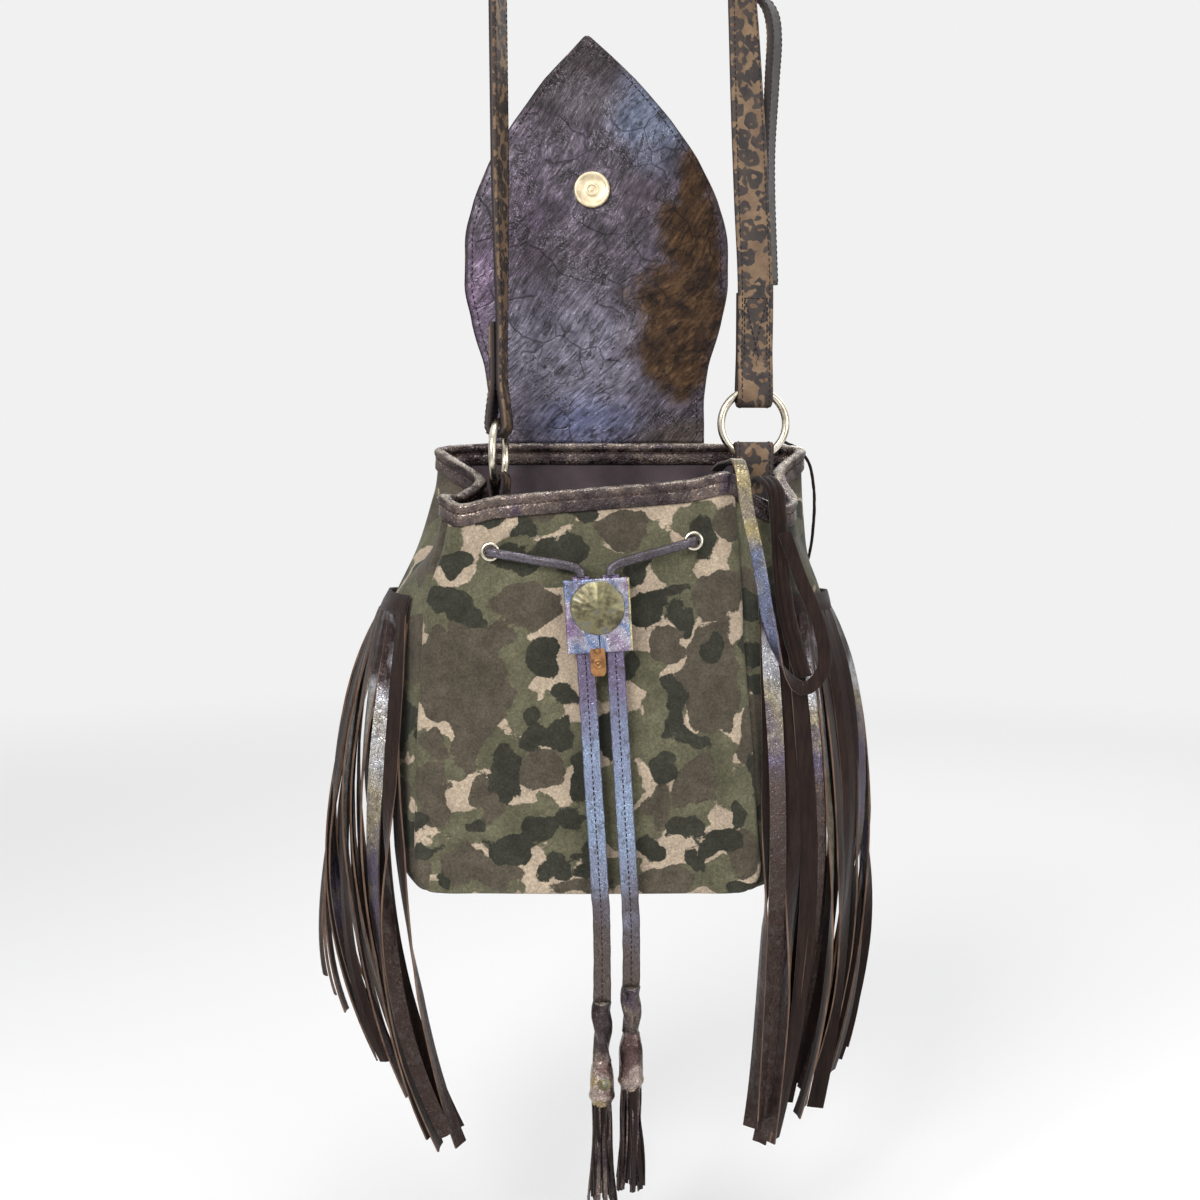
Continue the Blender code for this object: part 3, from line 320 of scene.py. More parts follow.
def spline(points, t, closed=False):
    """A centripetal Catmull-Rom curve through points, at index t."""
    n = len(points)
    k = math.floor(t)
    u = t - k
    if not closed and k >= n - 1:
        k, u = n - 2, 1.0

    def at(i):
        if closed:
            return points[i % n]
        if i < 0:
            return points[0] * 2 - points[1]
        if i >= n:
            return points[-1] * 2 - points[-2]
        return points[i]

    p = [at(k - 1), at(k), at(k + 1), at(k + 2)]
    s = [0.0]
    for a, b in zip(p, p[1:]):
        s.append(s[-1] + max((b - a).length, 1e-7) ** 0.5)
    x = s[1] + u * (s[2] - s[1])
    q = list(p)
    for level in (1, 2):
        q = [
            q[i] * ((s[i + level] - x) / (s[i + level] - s[i]))
            + q[i + 1] * ((x - s[i]) / (s[i + level] - s[i]))
            for i in range(len(q) - 1)
        ]
    return q[0] * ((s[2] - x) / (s[2] - s[1])) + q[1] * ((x - s[1]) / (s[2] - s[1]))


def smooth_path(points, count):
    pts = [Vector(p) for p in points]
    return [spline(pts, (len(pts) - 1) * i / (count - 1)) for i in range(count)]


# The wall of the bag. Its plan is a closed curve through these stations, numbered
# anticlockwise from the front left corner; each is (bottom, middle, rim, rim height).
def stations():
    f, b = FRONT_Y, BACK_Y
    soft = (6 * MM, 9 * MM, 12 * MM)  # corner radius at the three levels
    fl, fr, bl, br = FRONT_LEFT, FRONT_RIGHT, BACK_LEFT, BACK_RIGHT
    lean = (FRONT_RIM_Z[1] - FRONT_RIM_Z[0]) / 4

    def row(share, left, right, y, swell, z):
        xs = [l + c + (r - l - 2 * c) * share for l, r, c in zip(left, right, soft)]
        bump = swell * math.sin(math.pi * share)
        out = -1 if y < 0 else 1
        ys = (y + out * bump * 0.6, y + out * bump, y)
        return [Vector((x, v)) for x, v in zip(xs, ys)] + [z]

    def side(edge, y, away, z):
        return [Vector((x, y + away * c)) for x, c in zip(edge, soft)] + [z]

    def free(bottom, middle, rim, z):
        return [Vector((p[0] * MM, p[1] * MM)) for p in (bottom, middle)] + [Vector(rim), z]

    front = [
        row(s, fl, fr, f, FRONT_SWELL, FRONT_RIM_Z[0] + lean * k)
        for k, s in enumerate((0, 0.14, 0.5, 0.86, 1))
    ]
    back = [
        row(s, bl, br, b, BACK_SWELL, z)
        for s, z in zip(
            (1, 0.86, 0.5, 0.14, 0),
            (BACK_RIM_Z - 1 * MM, BACK_RIM_Z, BACK_RIM_Z, BACK_RIM_Z, BACK_RIM_Z - 1 * MM),
        )
    ]
    return [
        *front,
        side(fr, f, 1, -491 * MM),
        free((107, -27), (110, -29), (106 * MM, -24 * MM), -501 * MM),
        free((114, -14), (125, -15), (113 * MM, -12.5 * MM), -497 * MM),
        free((118, 10), (138, 8), RIGHT_FOLD, -480 * MM),
        side(br, b, -1, BACK_RIM_Z - 3 * MM),
        *back,
        side(bl, b, -1, BACK_RIM_Z - 3 * MM),
        free((-142, 22), (-150, 24), (-107 * MM, 20 * MM), -472 * MM),
        free((-143, 4), (-152, 4), LEFT_FOLD, -484 * MM),
        free((-140, -18), (-144, -20), (-104 * MM, -18 * MM), -495 * MM),
        side(fl, f, 1, -494 * MM),
    ]


WALL = stations()
COUNT = len(WALL)
FRONT_EDGES = (-0.5, 4.5)
BACK_EDGES = (9.5, 14.5)
MIDDLE_X = (FRONT_LEFT[0] + FRONT_RIGHT[0]) / 2
HALF_W = (FRONT_RIGHT[0] - FRONT_LEFT[0]) / 2


def rim_z(t):
    return spline([Vector((s[3], 0)) for s in WALL], t, closed=True).x


def plan(t, z):
    """The wall's outer face at station t and height z, as X and Y."""
    points = []
    for low, mid, rim, top in WALL:
        if z <= MIDDLE_Z:
            share = max((z - BOTTOM_Z) / (MIDDLE_Z - BOTTOM_Z), 0)
            points.append(low.lerp(mid, share))
        else:
            share = min((z - MIDDLE_Z) / (top - MIDDLE_Z), 1)
            points.append(mid.lerp(rim, share * share * (3 - 2 * share)))
    return spline(points, t, closed=True)


def wall_face(t, q):
    """The outer face. q is 0 at the base, 1 above the rounded corner, 2 under the
    binding and 3 at the rim."""
    low = BOTTOM_Z + CORNER_R * math.sin(CORNER_TURN)
    leg = rim_z(t) - BINDING_DEPTH
    if q < 1:
        turn = (1 - q) * CORNER_TURN
        z = low - CORNER_R * math.sin(turn)
        p = plan(t, z)
        narrow = 1 - CORNER_R * (1 - math.cos(turn)) / HALF_W
        return Vector((MIDDLE_X + (p.x - MIDDLE_X) * narrow, p.y, z))
    z = low + (leg - low) * (q - 1) if q < 2 else leg + BINDING_DEPTH * (q - 2)
    p = plan(t, z)
    return Vector((p.x, p.y, z))


def wall_normal(t, q):
    e = 0.02
    along = wall_face(t + e, q) - wall_face(t - e, q)
    up = wall_face(t, min(q + e, 3)) - wall_face(t, max(min(q, 3) - e, 0))
    return along.cross(up).normalized()


def wall(t, q, out=0.0):
    """A point out from the wall's outer face, or in from it where out is negative."""
    return wall_face(t, q) + wall_normal(t, q) * out


def q_of(t, z):
    """The q of a height on the plain part of the wall."""
    low = BOTTOM_Z + CORNER_R * math.sin(CORNER_TURN)
    return 1 + (z - low) / (rim_z(t) - BINDING_DEPTH - low)




def facing(at, towards):
    """A frame at a point, its Z axis along a direction."""
    z = Vector(towards).normalized()
    x = Vector((0, 0, 1)).cross(z).normalized()
    return Matrix.Translation(at) @ Matrix((x, z.cross(x), z)).transposed().to_4x4()


def station_at(x, z, edges):
    """The station of the front or back face that is at a given X and height."""
    a, b = edges
    for _ in range(40):
        mid = (a + b) / 2
        if (plan(mid, z).x < x) == (plan(edges[0], z).x < plan(edges[1], z).x):
            a = mid
        else:
            b = mid
    return (a + b) / 2


def flap_half(s):
    values = [Vector((v * MM, 0)) for v in FLAP_HALF]
    return spline(values, s * (len(values) - 1)).x


def flap_at(x, s):
    """How far the flap bows forward at an X and a share of its height."""
    mid = FLAP_X + (FLAP_TIP_X - FLAP_X) * max(s - 0.45, 0) ** 2 / 0.3
    u = (x - mid) / flap_half(s)
    return FLAP_BOW * (1 - u * u) * math.sin(math.pi * min(s * 1.2, 1))


def across(turn):
    """The direction of a strap's width and of its front face, for a turn about Z."""
    return (
        Vector((math.cos(turn), math.sin(turn), 0)),
        Vector((math.sin(turn), -math.cos(turn), 0)),
    )


def dip(width):
    """How far the wire falls away at the edges of a strap laid over the ring."""
    return RING_R - math.sqrt(RING_R**2 - (width / 2) ** 2)


def bight(centre, up, thick, width, legs, apart, wire=WIRE_R, drop=None):
    """A strap's turn round a wire, in its own plane: (offset, height) points from
    one leg to the other. up is 1 where the legs go up and -1 where they go down."""
    drop = dip(width) if drop is None else drop
    r = wire + RING_PLAY + thick / 2
    z = centre - up * drop
    turn = [
        (-r * math.cos(math.pi * k / 5), z - up * r * math.sin(math.pi * k / 5))
        for k in range(6)
    ]
    first = [(-apart, z + up * legs), (-apart, z + up * 5.2 * r), (-apart * 1.3, z + up * 4 * r)]
    first += [(-r * 0.85, z + up * 2 * r)]
    return first + turn + [(-x, h) for x, h in first[::-1]]


def bezier(p, s):
    a = 1 - s
    return p[0] * a**3 + p[1] * 3 * a * a * s + p[2] * 3 * a * s * s + p[3] * s**3


low_bar = BUCKLE_Z - BUCKLE_H / 2
TAIL_STATIONS = (
        (-3.4, 3.4, low_bar / MM - 7, 45),
        (-2.5, 10.5, low_bar / MM - 16, 47),
        (4, 18.5, low_bar / MM - 25, 51),
        (15, 24, low_bar / MM - 35, 56),
        (23.5, 25, low_bar / MM - 45, 61),
        (26.4, 23, low_bar / MM - 60, 66),
        (25, 20, low_bar / MM - 92, 68),
        (22.9, 19, low_bar / MM - 141, 70),
        (25.6, 18, FREE_TAIL_Z / MM, 70),
)
BUNDLE = [(91, -6, -482), (95, -20, -482), (99, -34, -489), (101, -37, -510)]
BUNDLE += [(102, -40, -532), (104.5, -44, -558), (110, -47, -583), (116, -47, -604)]
LACE = [(68, 38, -476), (70, 15, -472), (73, -15, -470.5), (75, -44, -470.5)]
LACE += [(77, -54, -480), (79, -55, -497), (87, -56, -532), (93.7, -55, -570)]
LACE += [(104, -53, -600), (116, -51, -611), (128, -49, -600), (127, -47, -576)]
LACE += [(112, -45.5, -538), (104, -43.2, -514)]
REAR = [(107, 36, -466), (109, 38.6, -459.5), (112, 43, -457), (117, 48, -458.5)]
REAR += [(124, 50.5, -462), (131, 51, -471), (134.8, 51, -489), (134.6, 51, -515)]
REAR += [(131, 51, -538), (124, 51.5, -552)]
LEFT_FRINGE = (
    ((7, -640), (23, -780), (-98, -905)),
    ((38, -612), (56, -740), (-184, -825)),
)
RIGHT_FRINGE = (
    ((6, -640), (17, -770), (84, -892)),
    ((26, -612), (34, -740), (142, -872)),
)


def rgb(r, g, b):
    """An sRGB colour of 0 to 255 as a linear one."""
    return tuple((v / 255 / 12.92) if v <= 10 else ((v / 255 + 0.055) / 1.055) ** 2.4 for v in (r, g, b))


TAN, GREEN = rgb(186, 168, 146), rgb(107, 104, 82)
OLIVE, UMBER = rgb(60, 60, 50), rgb(92, 84, 71)


def camo_suede():
    """Four flat colours with ragged edges; the fields come as attributes."""
    m = Nodes("camo_suede", TAN, 0.95, 0, 0.2)
    rag = m.math("MULTIPLY", m.math("SUBTRACT", m.noise(110, 4, 0.65), 0.5), 0.62)
    nib = m.math("MULTIPLY", m.math("SUBTRACT", m.noise(900, 2, 0.6), 0.5), 0.16)
    rag = m.math("ADD", rag, nib)
    c = TAN
    tones = {"green": (GREEN, 0.16), "umber": (UMBER, 0.17), "olive": (OLIVE, 0.09)}
    for k, (key, (tone, grown)) in enumerate(tones.items()):
        here = m.step(m.math("ADD", m.attr(key), rag), -grown, 0.045)
        wear_and_top_highlight = m.ramp(m.noise(70 + 17 * k, 5, 0.7), (0.3, 0.62), (0.7, 1.12))
        shade = m.mix(1.0, tone, wear_and_top_highlight, "MULTIPLY")
        c = m.mix(here, c, shade)
    nap = m.noise(34, 3, 0.6)
    c = m.mix(1.0, c, m.ramp(nap, (0.3, 0.74), (0.7, 1.08)), "MULTIPLY")
    grit = m.noise(620, 3, 0.75)
    c = m.mix(1.0, c, m.ramp(grit, (0.34, 0.60), (0.64, 1.03)), "MULTIPLY")
    fluff = m.step(m.noise(760, 2, 0.6), 0.58, 0.04)
    c = m.mix(1.0, c, m.ramp(fluff, (0.0, 1.0), (1.0, 1.22)), "MULTIPLY")
    m.set("Base Color", c)
    m.set("Sheen Weight", 0.12)
    m.set("Sheen Roughness", 0.5)
    m.bump((grit, 0.5, 0.0006), (m.noise(260, 3, 0.6), 0.25, 0.0006), (m.noise(45, 2, 0.5), 0.3, 0.003))
    return m.mat


def foil(name, stops, scale=26, metal=0.85, rough=0.34, dull=rgb(50, 38, 34), wear=0.44, key=None, reach=1.0, painted_crest_highlight=0.0):
    """Creased leather with a metallic foil that is rubbed through in places, with
    painted glints in small bright flecks and, when asked for, a painted highlight
    on the faces that look up. Its colours drift, or follow an attribute that runs
    along the piece."""
    m = Nodes(name, stops[0][1], rough, metal, 0.5)
    n = m.noise(scale, 2.5, 0.6, m.warped(30, 0.02))
    if key:
        n = m.math("ADD", m.math("DIVIDE", m.attr(key), reach), m.math("MULTIPLY", m.math("SUBTRACT", n, 0.5), 0.55))
    c = m.ramp(n, *stops)
    cells = m.voronoi(460, "DISTANCE_TO_EDGE", m.warped(220, 0.004))
    line = m.ramp(cells, (0.0, 0.0), (0.10, 1.0))
    rub = m.step(m.noise(170, 4, 0.7), wear, 0.09)
    c = m.mix(rub, m.mix(0.35, dull, c), c)
    # Small bright flecks: painted glints on the foil.
    painted_glint_fleck = m.math("MULTIPLY", m.step(m.noise(800, 3, 0.6), 0.58, 0.05), m.step(m.noise(90, 2), 0.5, 0.1))
    c = m.mix(1.0, c, m.ramp(painted_glint_fleck, (0.0, 1.0), (1.0, 1.5)), "MULTIPLY")
    if painted_crest_highlight:
        # Painted highlight: faces that look up are lightened toward pale silver, broken up by noise.
        up = m.node("ShaderNodeSeparateXYZ", Vector=m.tree.nodes.new("ShaderNodeNewGeometry").outputs["Normal"])
        wear_and_top_highlight = m.math("MULTIPLY", m.step(up.outputs[2], 0.66, 0.3), m.step(m.noise(90, 5, 0.75), 0.46, 0.10))
        c = m.mix(m.math("MULTIPLY", wear_and_top_highlight, painted_crest_highlight), c, rgb(196, 186, 172))
    c = m.mix(m.math("MULTIPLY", m.math("SUBTRACT", 1.0, line), 0.6), c, rgb(30, 22, 20))
    m.set("Base Color", c)
    m.set("Roughness", m.math("ADD", m.math("MULTIPLY", m.noise(300, 3), 0.3), rough - 0.14))
    m.set("Metallic", m.math("MULTIPLY", m.math("ADD", m.math("MULTIPLY", rub, 0.7), 0.3), metal))
    m.bump((line, 0.4, 0.0005), (m.noise(170, 3, 0.6), 0.45, 0.0014), (m.noise(60, 2, 0.6), 0.4, 0.003))
    return m.mat


HIDE_CLOUDS = (
    # X, Z, half width, half height in m, softness, strength, dark and light tone
    (-0.032, -0.212, 0.042, 0.034, 0.5, 0.92, rgb(44, 34, 38), rgb(76, 62, 66)),
    (0.024, -0.240, 0.026, 0.030, 0.6, 0.90, rgb(78, 88, 108), rgb(158, 170, 192)),
    (-0.020, -0.228, 0.020, 0.012, 0.8, 0.55, rgb(88, 84, 92), rgb(150, 146, 154)),
    (-0.060, -0.330, 0.026, 0.040, 0.7, 0.65, rgb(50, 38, 50), rgb(98, 82, 104)),
    (-0.030, -0.345, 0.034, 0.020, 0.8, 0.55, rgb(44, 34, 38), rgb(88, 74, 84)),
    (0.020, -0.300, 0.026, 0.018, 0.8, 0.50, rgb(60, 50, 56), rgb(112, 100, 110)),
    (-0.092, -0.372, 0.016, 0.040, 0.6, 0.70, rgb(92, 72, 98), rgb(160, 136, 166)),
    (-0.034, -0.402, 0.054, 0.044, 0.6, 0.85, rgb(86, 86, 98), rgb(174, 174, 190)),
    (-0.026, -0.446, 0.030, 0.014, 0.9, 0.75, rgb(80, 88, 120), rgb(160, 170, 206)),
    (0.044, -0.452, 0.024, 0.014, 0.7, 0.70, rgb(58, 50, 42), rgb(122, 110, 88)),
)


def hide():
    """Hair-on hide under a rubbed silver wash, cracked, with a brown patch of hair."""
    m = Nodes("metallic_hide", (0.1, 0.1, 0.12), 0.45, 0.35, 0.6)
    soft = m.node("ShaderNodeSeparateXYZ", Vector=m.warped(26, 0.034))
    x, z = soft.outputs[0], soft.outputs[2]
    leant = m.stretch(turn=(0, -0.65, 0), vec=m.warped(9, 0.05))
    hair = m.noise(520, 2, 0.6, m.stretch(1.0, 1, 0.16, vec=leant))
    strokes = m.noise(240, 4, 0.75, m.stretch(1.0, 1, 0.35, vec=leant))
    tone = m.math("ADD", m.math("MULTIPLY", hair, 0.38), m.math("MULTIPLY", m.noise(62, 6, 0.78), 0.62))

    def field(cx, cz, rx, rz, soft):
        dx = m.math("DIVIDE", m.math("SUBTRACT", x, cx), rx)
        dz = m.math("DIVIDE", m.math("SUBTRACT", z, cz), rz)
        d = m.math("SQRT", m.math("ADD", m.math("MULTIPLY", dx, dx), m.math("MULTIPLY", dz, dz)))
        return m.math("SUBTRACT", 1.0, m.step(d, 1.0, soft))

    c = m.ramp(tone, (0.36, rgb(54, 47, 56)), (0.5, rgb(98, 90, 102)), (0.62, rgb(146, 138, 152)))
    for cx, cz, rx, rz, blur, much, dark, light in HIDE_CLOUDS:
        here = m.math("MULTIPLY", field(cx, cz, rx, rz, blur), much)
        c = m.mix(here, c, m.ramp(tone, (0.38, dark), (0.62, light)))
    patch = m.math("MAXIMUM", field(0.044, -0.380, 0.033, 0.042, 0.6), field(0.056, -0.325, 0.020, 0.036, 0.6))
    patch = m.math("MAXIMUM", patch, field(0.052, -0.284, 0.010, 0.020, 0.7))
    ragged = m.math("MULTIPLY", m.math("SUBTRACT", m.noise(80, 5, 0.75, m.stretch(1, 1, 0.5, vec=leant)), 0.5), 1.3)
    blot = m.step(m.math("ADD", patch, ragged), 0.5, 0.32)
    gold = m.ramp(tone, (0.36, rgb(58, 42, 28)), (0.5, rgb(100, 76, 46)), (0.64, rgb(142, 114, 74)))
    gold = m.mix(m.step(m.noise(60, 4, 0.7), 0.58, 0.12), gold, rgb(62, 46, 32))
    c = m.mix(m.math("MULTIPLY", blot, 0.9), c, gold)
    cells = m.voronoi(38, "DISTANCE_TO_EDGE", m.warped(60, 0.012))
    crack = m.math("SUBTRACT", 1.0, m.ramp(cells, (0.0, 0.0), (0.030, 1.0)))
    mark = m.math("MULTIPLY", crack, m.step(m.noise(26, 3), 0.50, 0.05))
    fray = m.math("SUBTRACT", 1.0, m.ramp(m.voronoi(120, "DISTANCE_TO_EDGE", m.warped(130, 0.02)), (0.0, 0.0), (0.06, 1.0)))
    mark = m.math("MAXIMUM", mark, m.math("MULTIPLY", fray, m.step(m.noise(40, 4, 0.7), 0.56, 0.05)))
    nick = m.step(strokes, 0.58, 0.03)
    c = m.mix(m.math("MULTIPLY", nick, 0.65), c, rgb(34, 26, 28))
    c = m.mix(m.math("MULTIPLY", mark, 0.6), c, rgb(24, 18, 20))
    glint = m.math("MULTIPLY", m.step(m.noise(800, 2, 0.6), 0.60, 0.04), m.step(m.noise(40, 3), 0.52, 0.1))
    c = m.mix(m.math("MULTIPLY", m.math("MULTIPLY", glint, m.math("SUBTRACT", 1.0, blot)), 0.35), c, rgb(206, 202, 212))
    c = m.node("ShaderNodeGamma", Color=c, Gamma=1.22).outputs[0]
    c = m.mix(1.0, c, (0.68, 0.64, 0.65), "MULTIPLY")
    m.set("Specular IOR Level", m.mix(blot, (0.4, 0.4, 0.4), (0.2, 0.2, 0.2)))
    m.set("Base Color", c)
    m.set("Roughness", m.mix(blot, m.ramp(tone, (0.38, 0.55), (0.62, 0.30)), (0.72, 0.72, 0.72)))
    m.set("Metallic", m.math("MULTIPLY", m.math("SUBTRACT", 1.0, blot), 0.35))
    m.bump((hair, 0.45, 0.0007), (strokes, 0.4, 0.0012), (m.math("SUBTRACT", 1.0, mark), 0.4, 0.0008), (m.noise(60, 3), 0.35, 0.003))
    return m.mat


def leopard():
    m = Nodes("printed_leather", (0.3, 0.2, 0.1), 0.62, 0, 0.35)
    flat = m.joined(m.attr("along"), m.attr("across"), m.attr("side"))
    v = m.warped(130, 0.006, flat)
    tan = m.ramp(m.noise(60, 3, 0.6, flat), (0.3, rgb(98, 76, 58)), (0.7, rgb(136, 112, 86)))
    cells = m.voronoi(122, "F1", v, 0.85)
    lobes = m.noise(210, 1.5, 0.5, flat)
    d = m.math("ADD", cells, m.math("MULTIPLY", m.math("SUBTRACT", lobes, 0.5), 0.55))
    outer = m.step(m.math("SUBTRACT", 0.62, d), 0.0, 0.04)
    core = m.step(m.math("SUBTRACT", 0.19, d), 0.0, 0.03)
    gap = m.step(m.noise(120, 1, 0.5, m.vmath("ADD", flat, (4.2, 1, 0))), 0.34, 0.02)
    ring = m.math("MULTIPLY", m.math("MULTIPLY", outer, m.math("SUBTRACT", 1.0, core)), gap)
    c = m.mix(m.math("MULTIPLY", core, gap), tan, rgb(102, 76, 56))
    c = m.mix(ring, c, m.ramp(m.noise(70, 2, 0.5, flat), (0.35, rgb(44, 38, 37)), (0.65, rgb(66, 56, 50))))
    edge = m.step(m.math("ABSOLUTE", m.attr("across")), STRAP_W / 2 - 0.0011, 0.0003)
    c = m.mix(edge, c, rgb(48, 32, 36))
    c = m.mix(m.step(m.attr("side"), 0.5, 0.01), c, rgb(40, 30, 30))
    grain = m.noise(900, 3, 0.6)
    c = m.mix(1.0, c, m.ramp(grain, (0.3, 0.82), (0.7, 1.0)), "MULTIPLY")
    m.set("Base Color", c)
    m.set("Roughness", m.ramp(grain, (0.3, 0.7), (0.7, 0.5)))
    m.bump((grain, 0.4, 0.0004), (m.noise(140, 2), 0.25, 0.0008))
    return m.mat


def suede(name, dark, light, sheen=0.2):
    m = Nodes(name, dark, 0.95, 0, 0.2)
    long = m.stretch(1, 1, 0.12)
    c = m.ramp(m.noise(420, 4, 0.7, long), (0.3, dark), (0.72, light))
    c = m.mix(1.0, c, m.ramp(m.noise(45, 3), (0.3, 0.65), (0.7, 1.0)), "MULTIPLY")
    m.set("Base Color", c)
    m.set("Sheen Weight", sheen)
    m.set("Sheen Roughness", 0.45)
    m.bump((m.noise(1300, 2, 0.7), 0.6, 0.0006), (m.noise(160, 3, 0.6, long), 0.4, 0.001))
    return m.mat


def cloth():
    m = Nodes("lining_twill", rgb(74, 62, 66), 0.85, 0, 0.25)
    sep = m.node("ShaderNodeSeparateXYZ", Vector=m.coords)
    lines = m.math("SINE", m.math("MULTIPLY", m.math("ADD", m.math("ADD", sep.outputs[0], sep.outputs[1]), sep.outputs[2]), 4200))
    c = m.ramp(m.noise(30, 3), (0.3, rgb(64, 54, 58)), (0.7, rgb(92, 80, 84)))
    c = m.mix(1.0, c, m.ramp(m.math("ADD", m.math("MULTIPLY", lines, 0.5), 0.5), (0, 0.8), (1, 1.0)), "MULTIPLY")
    m.set("Base Color", c)
    m.set("Sheen Weight", 0.2)
    m.bump((lines, 0.25, 0.0003), (m.noise(70, 3), 0.4, 0.002))
    return m.mat


def metal(name, stops, rough, scale=90, metallic=1.0, dent=0.15):
    m = Nodes(name, stops[-1][1], rough, metallic, 0.5)
    n = m.noise(scale, 4, 0.65)
    m.set("Base Color", m.ramp(n, *stops))
    m.set("Roughness", m.ramp(m.noise(scale * 3, 3), (0.3, rough + 0.16), (0.7, rough)))
    m.bump((m.noise(500, 3), dent, 0.0004), (m.noise(60, 2), dent, 0.0008))
    return m.mat


def thread(name, colour):
    m = Nodes(name, colour, 0.8, 0, 0.3)
    twist = m.noise(2600, 1, 0.5, m.stretch(1, 1, 0.4))
    m.set("Base Color", m.mix(1.0, m.ramp(twist, (0.3, colour), (0.7, tuple(min(1, v * 1.6) for v in colour))), (1, 1, 1), "MULTIPLY"))
    m.bump((twist, 0.6, 0.0003))
    return m.mat


SILVERY = ((0.28, rgb(96, 80, 104)), (0.40, rgb(146, 126, 154)), (0.49, rgb(180, 176, 188)), (0.58, rgb(112, 130, 168)), (0.68, rgb(178, 180, 190)), (0.80, rgb(130, 112, 130)))
BRONZE = ((0.30, rgb(36, 28, 30)), (0.46, rgb(66, 56, 58)), (0.57, rgb(120, 106, 98)), (0.66, rgb(80, 68, 80)), (0.80, rgb(42, 34, 36)))
ROSY = ((0.30, rgb(62, 46, 44)), (0.46, rgb(104, 84, 80)), (0.57, rgb(172, 156, 148)), (0.66, rgb(160, 140, 96)), (0.80, rgb(80, 64, 60)))
PATINA = ((0.30, rgb(62, 60, 50)), (0.44, rgb(98, 92, 74)), (0.55, rgb(130, 124, 94)), (0.64, rgb(106, 110, 112)), (0.76, rgb(78, 76, 62)))
TAILS = ((0.05, rgb(106, 92, 118)), (0.25, rgb(114, 106, 132)), (0.48, rgb(140, 156, 182)), (0.66, rgb(128, 136, 158)), (0.78, rgb(96, 90, 96)), (0.9, rgb(86, 76, 72)))
STRING = ((0.2, rgb(58, 52, 56)), (0.6, rgb(102, 96, 104)), (0.9, rgb(64, 56, 62)))
LACE_TONES = ((0.06, rgb(100, 92, 84)), (0.26, rgb(138, 128, 112)), (0.35, rgb(160, 146, 106)), (0.47, rgb(106, 114, 138)), (0.62, rgb(92, 78, 98)))
STRIP_TONES = ((0.06, rgb(48, 36, 35)), (0.14, rgb(140, 136, 140)), (0.20, rgb(180, 180, 184)), (0.33, rgb(146, 136, 114)), (0.45, rgb(100, 92, 112)), (0.60, rgb(88, 76, 72)), (0.85, rgb(58, 46, 42)))
M = {
    "camo": camo_suede(),
    # the binding's foil gets a painted highlight on its upward faces
    "bronze": foil("bronze_foil_leather", BRONZE, 30, 0.9, 0.26, wear=0.48, painted_crest_highlight=0.75),
    "silver": foil("silver_foil_leather", SILVERY, 44, 0.85, 0.34, dull=rgb(70, 58, 76), wear=0.45),
    "tail": foil("tail_foil_leather", TAILS, 26, 0.75, 0.36, wear=0.40, key="along", reach=0.26),
    "string": foil("string_foil_leather", STRING, 60, 0.75, 0.34, wear=0.44),
    "lace": foil("lace_foil_leather", LACE_TONES, 30, 0.85, 0.34, wear=0.40, key="along", reach=0.36),
    "strip": foil("fringe_foil_leather", STRIP_TONES, 30, 0.85, 0.34, wear=0.42, key="down"),
    # gold foil for the slider's edge strip, a painted highlight
    "gold": foil("gold_edge_highlight_foil", ((0.3, rgb(128, 116, 84)), (0.55, rgb(206, 194, 148)), (0.75, rgb(172, 166, 152))), 40, 0.9, 0.3, wear=0.38),
    "hide": hide(),
    "leopard": leopard(),
    "dark": suede("dark_suede", rgb(26, 17, 14), rgb(50, 34, 28)),
    # Cut edges: lighter leather, brightened further as a painted highlight where the thin edges catch the light.
    "cut": suede("cut_edge_and_painted_highlight", rgb(84, 64, 54), rgb(136, 110, 92), 0.1),
    "cloth": cloth(),
    "nickel": metal("nickel", ((0.32, rgb(176, 164, 146)), (0.6, rgb(226, 218, 200))), 0.16),
    "brass": metal("aged_brass", PATINA, 0.34, 110),
    "copper": metal("tag_brass", ((0.32, rgb(112, 80, 56)), (0.6, rgb(166, 122, 82))), 0.4, 200),
    "cream": metal("disc_brass", ((0.32, rgb(192, 174, 142)), (0.6, rgb(224, 208, 176))), 0.38, 200, 0.55),
    "cap": foil("cap_foil_leather", ROSY, 44, 0.9, 0.26, wear=0.36),
    "thread": thread("dark_thread", rgb(34, 26, 26)),
    "hem": thread("brown_thread", rgb(58, 42, 36)),
}


# ---- forms ------------------------------------------------------------------
def piece(name, mesh, mats, body, *nodes, smooth=True):
    """An object that rides on a body and stands for some of the solids."""
    obj = bpy.data.objects.new(name, mesh)
    bpy.context.scene.collection.objects.link(obj)
    for m in mats if isinstance(mats, (list, tuple)) else [mats]:
        obj.data.materials.append(M[m])
    if smooth:
        mesh.shade_smooth()
    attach(obj, body)
    if nodes:
        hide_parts(*nodes)
    return obj


def mesh_of(name, points, faces, attrs=None, index=None):
    mesh = bpy.data.meshes.new(name)
    mesh.from_pydata([tuple(p) for p in points], [], faces)
    for key, values in (attrs or {}).items():
        mesh.attributes.new(key, "FLOAT", "POINT").data.foreach_set("value", values)
    if index:
        mesh.polygons.foreach_set("material_index", index)
    mesh.update()
    return mesh


def outwards(mesh):
    bm = bmesh.new()
    bm.from_mesh(mesh)
    bmesh.ops.recalc_face_normals(bm, faces=bm.faces)
    bm.to_mesh(mesh)
    bm.free()
    return mesh


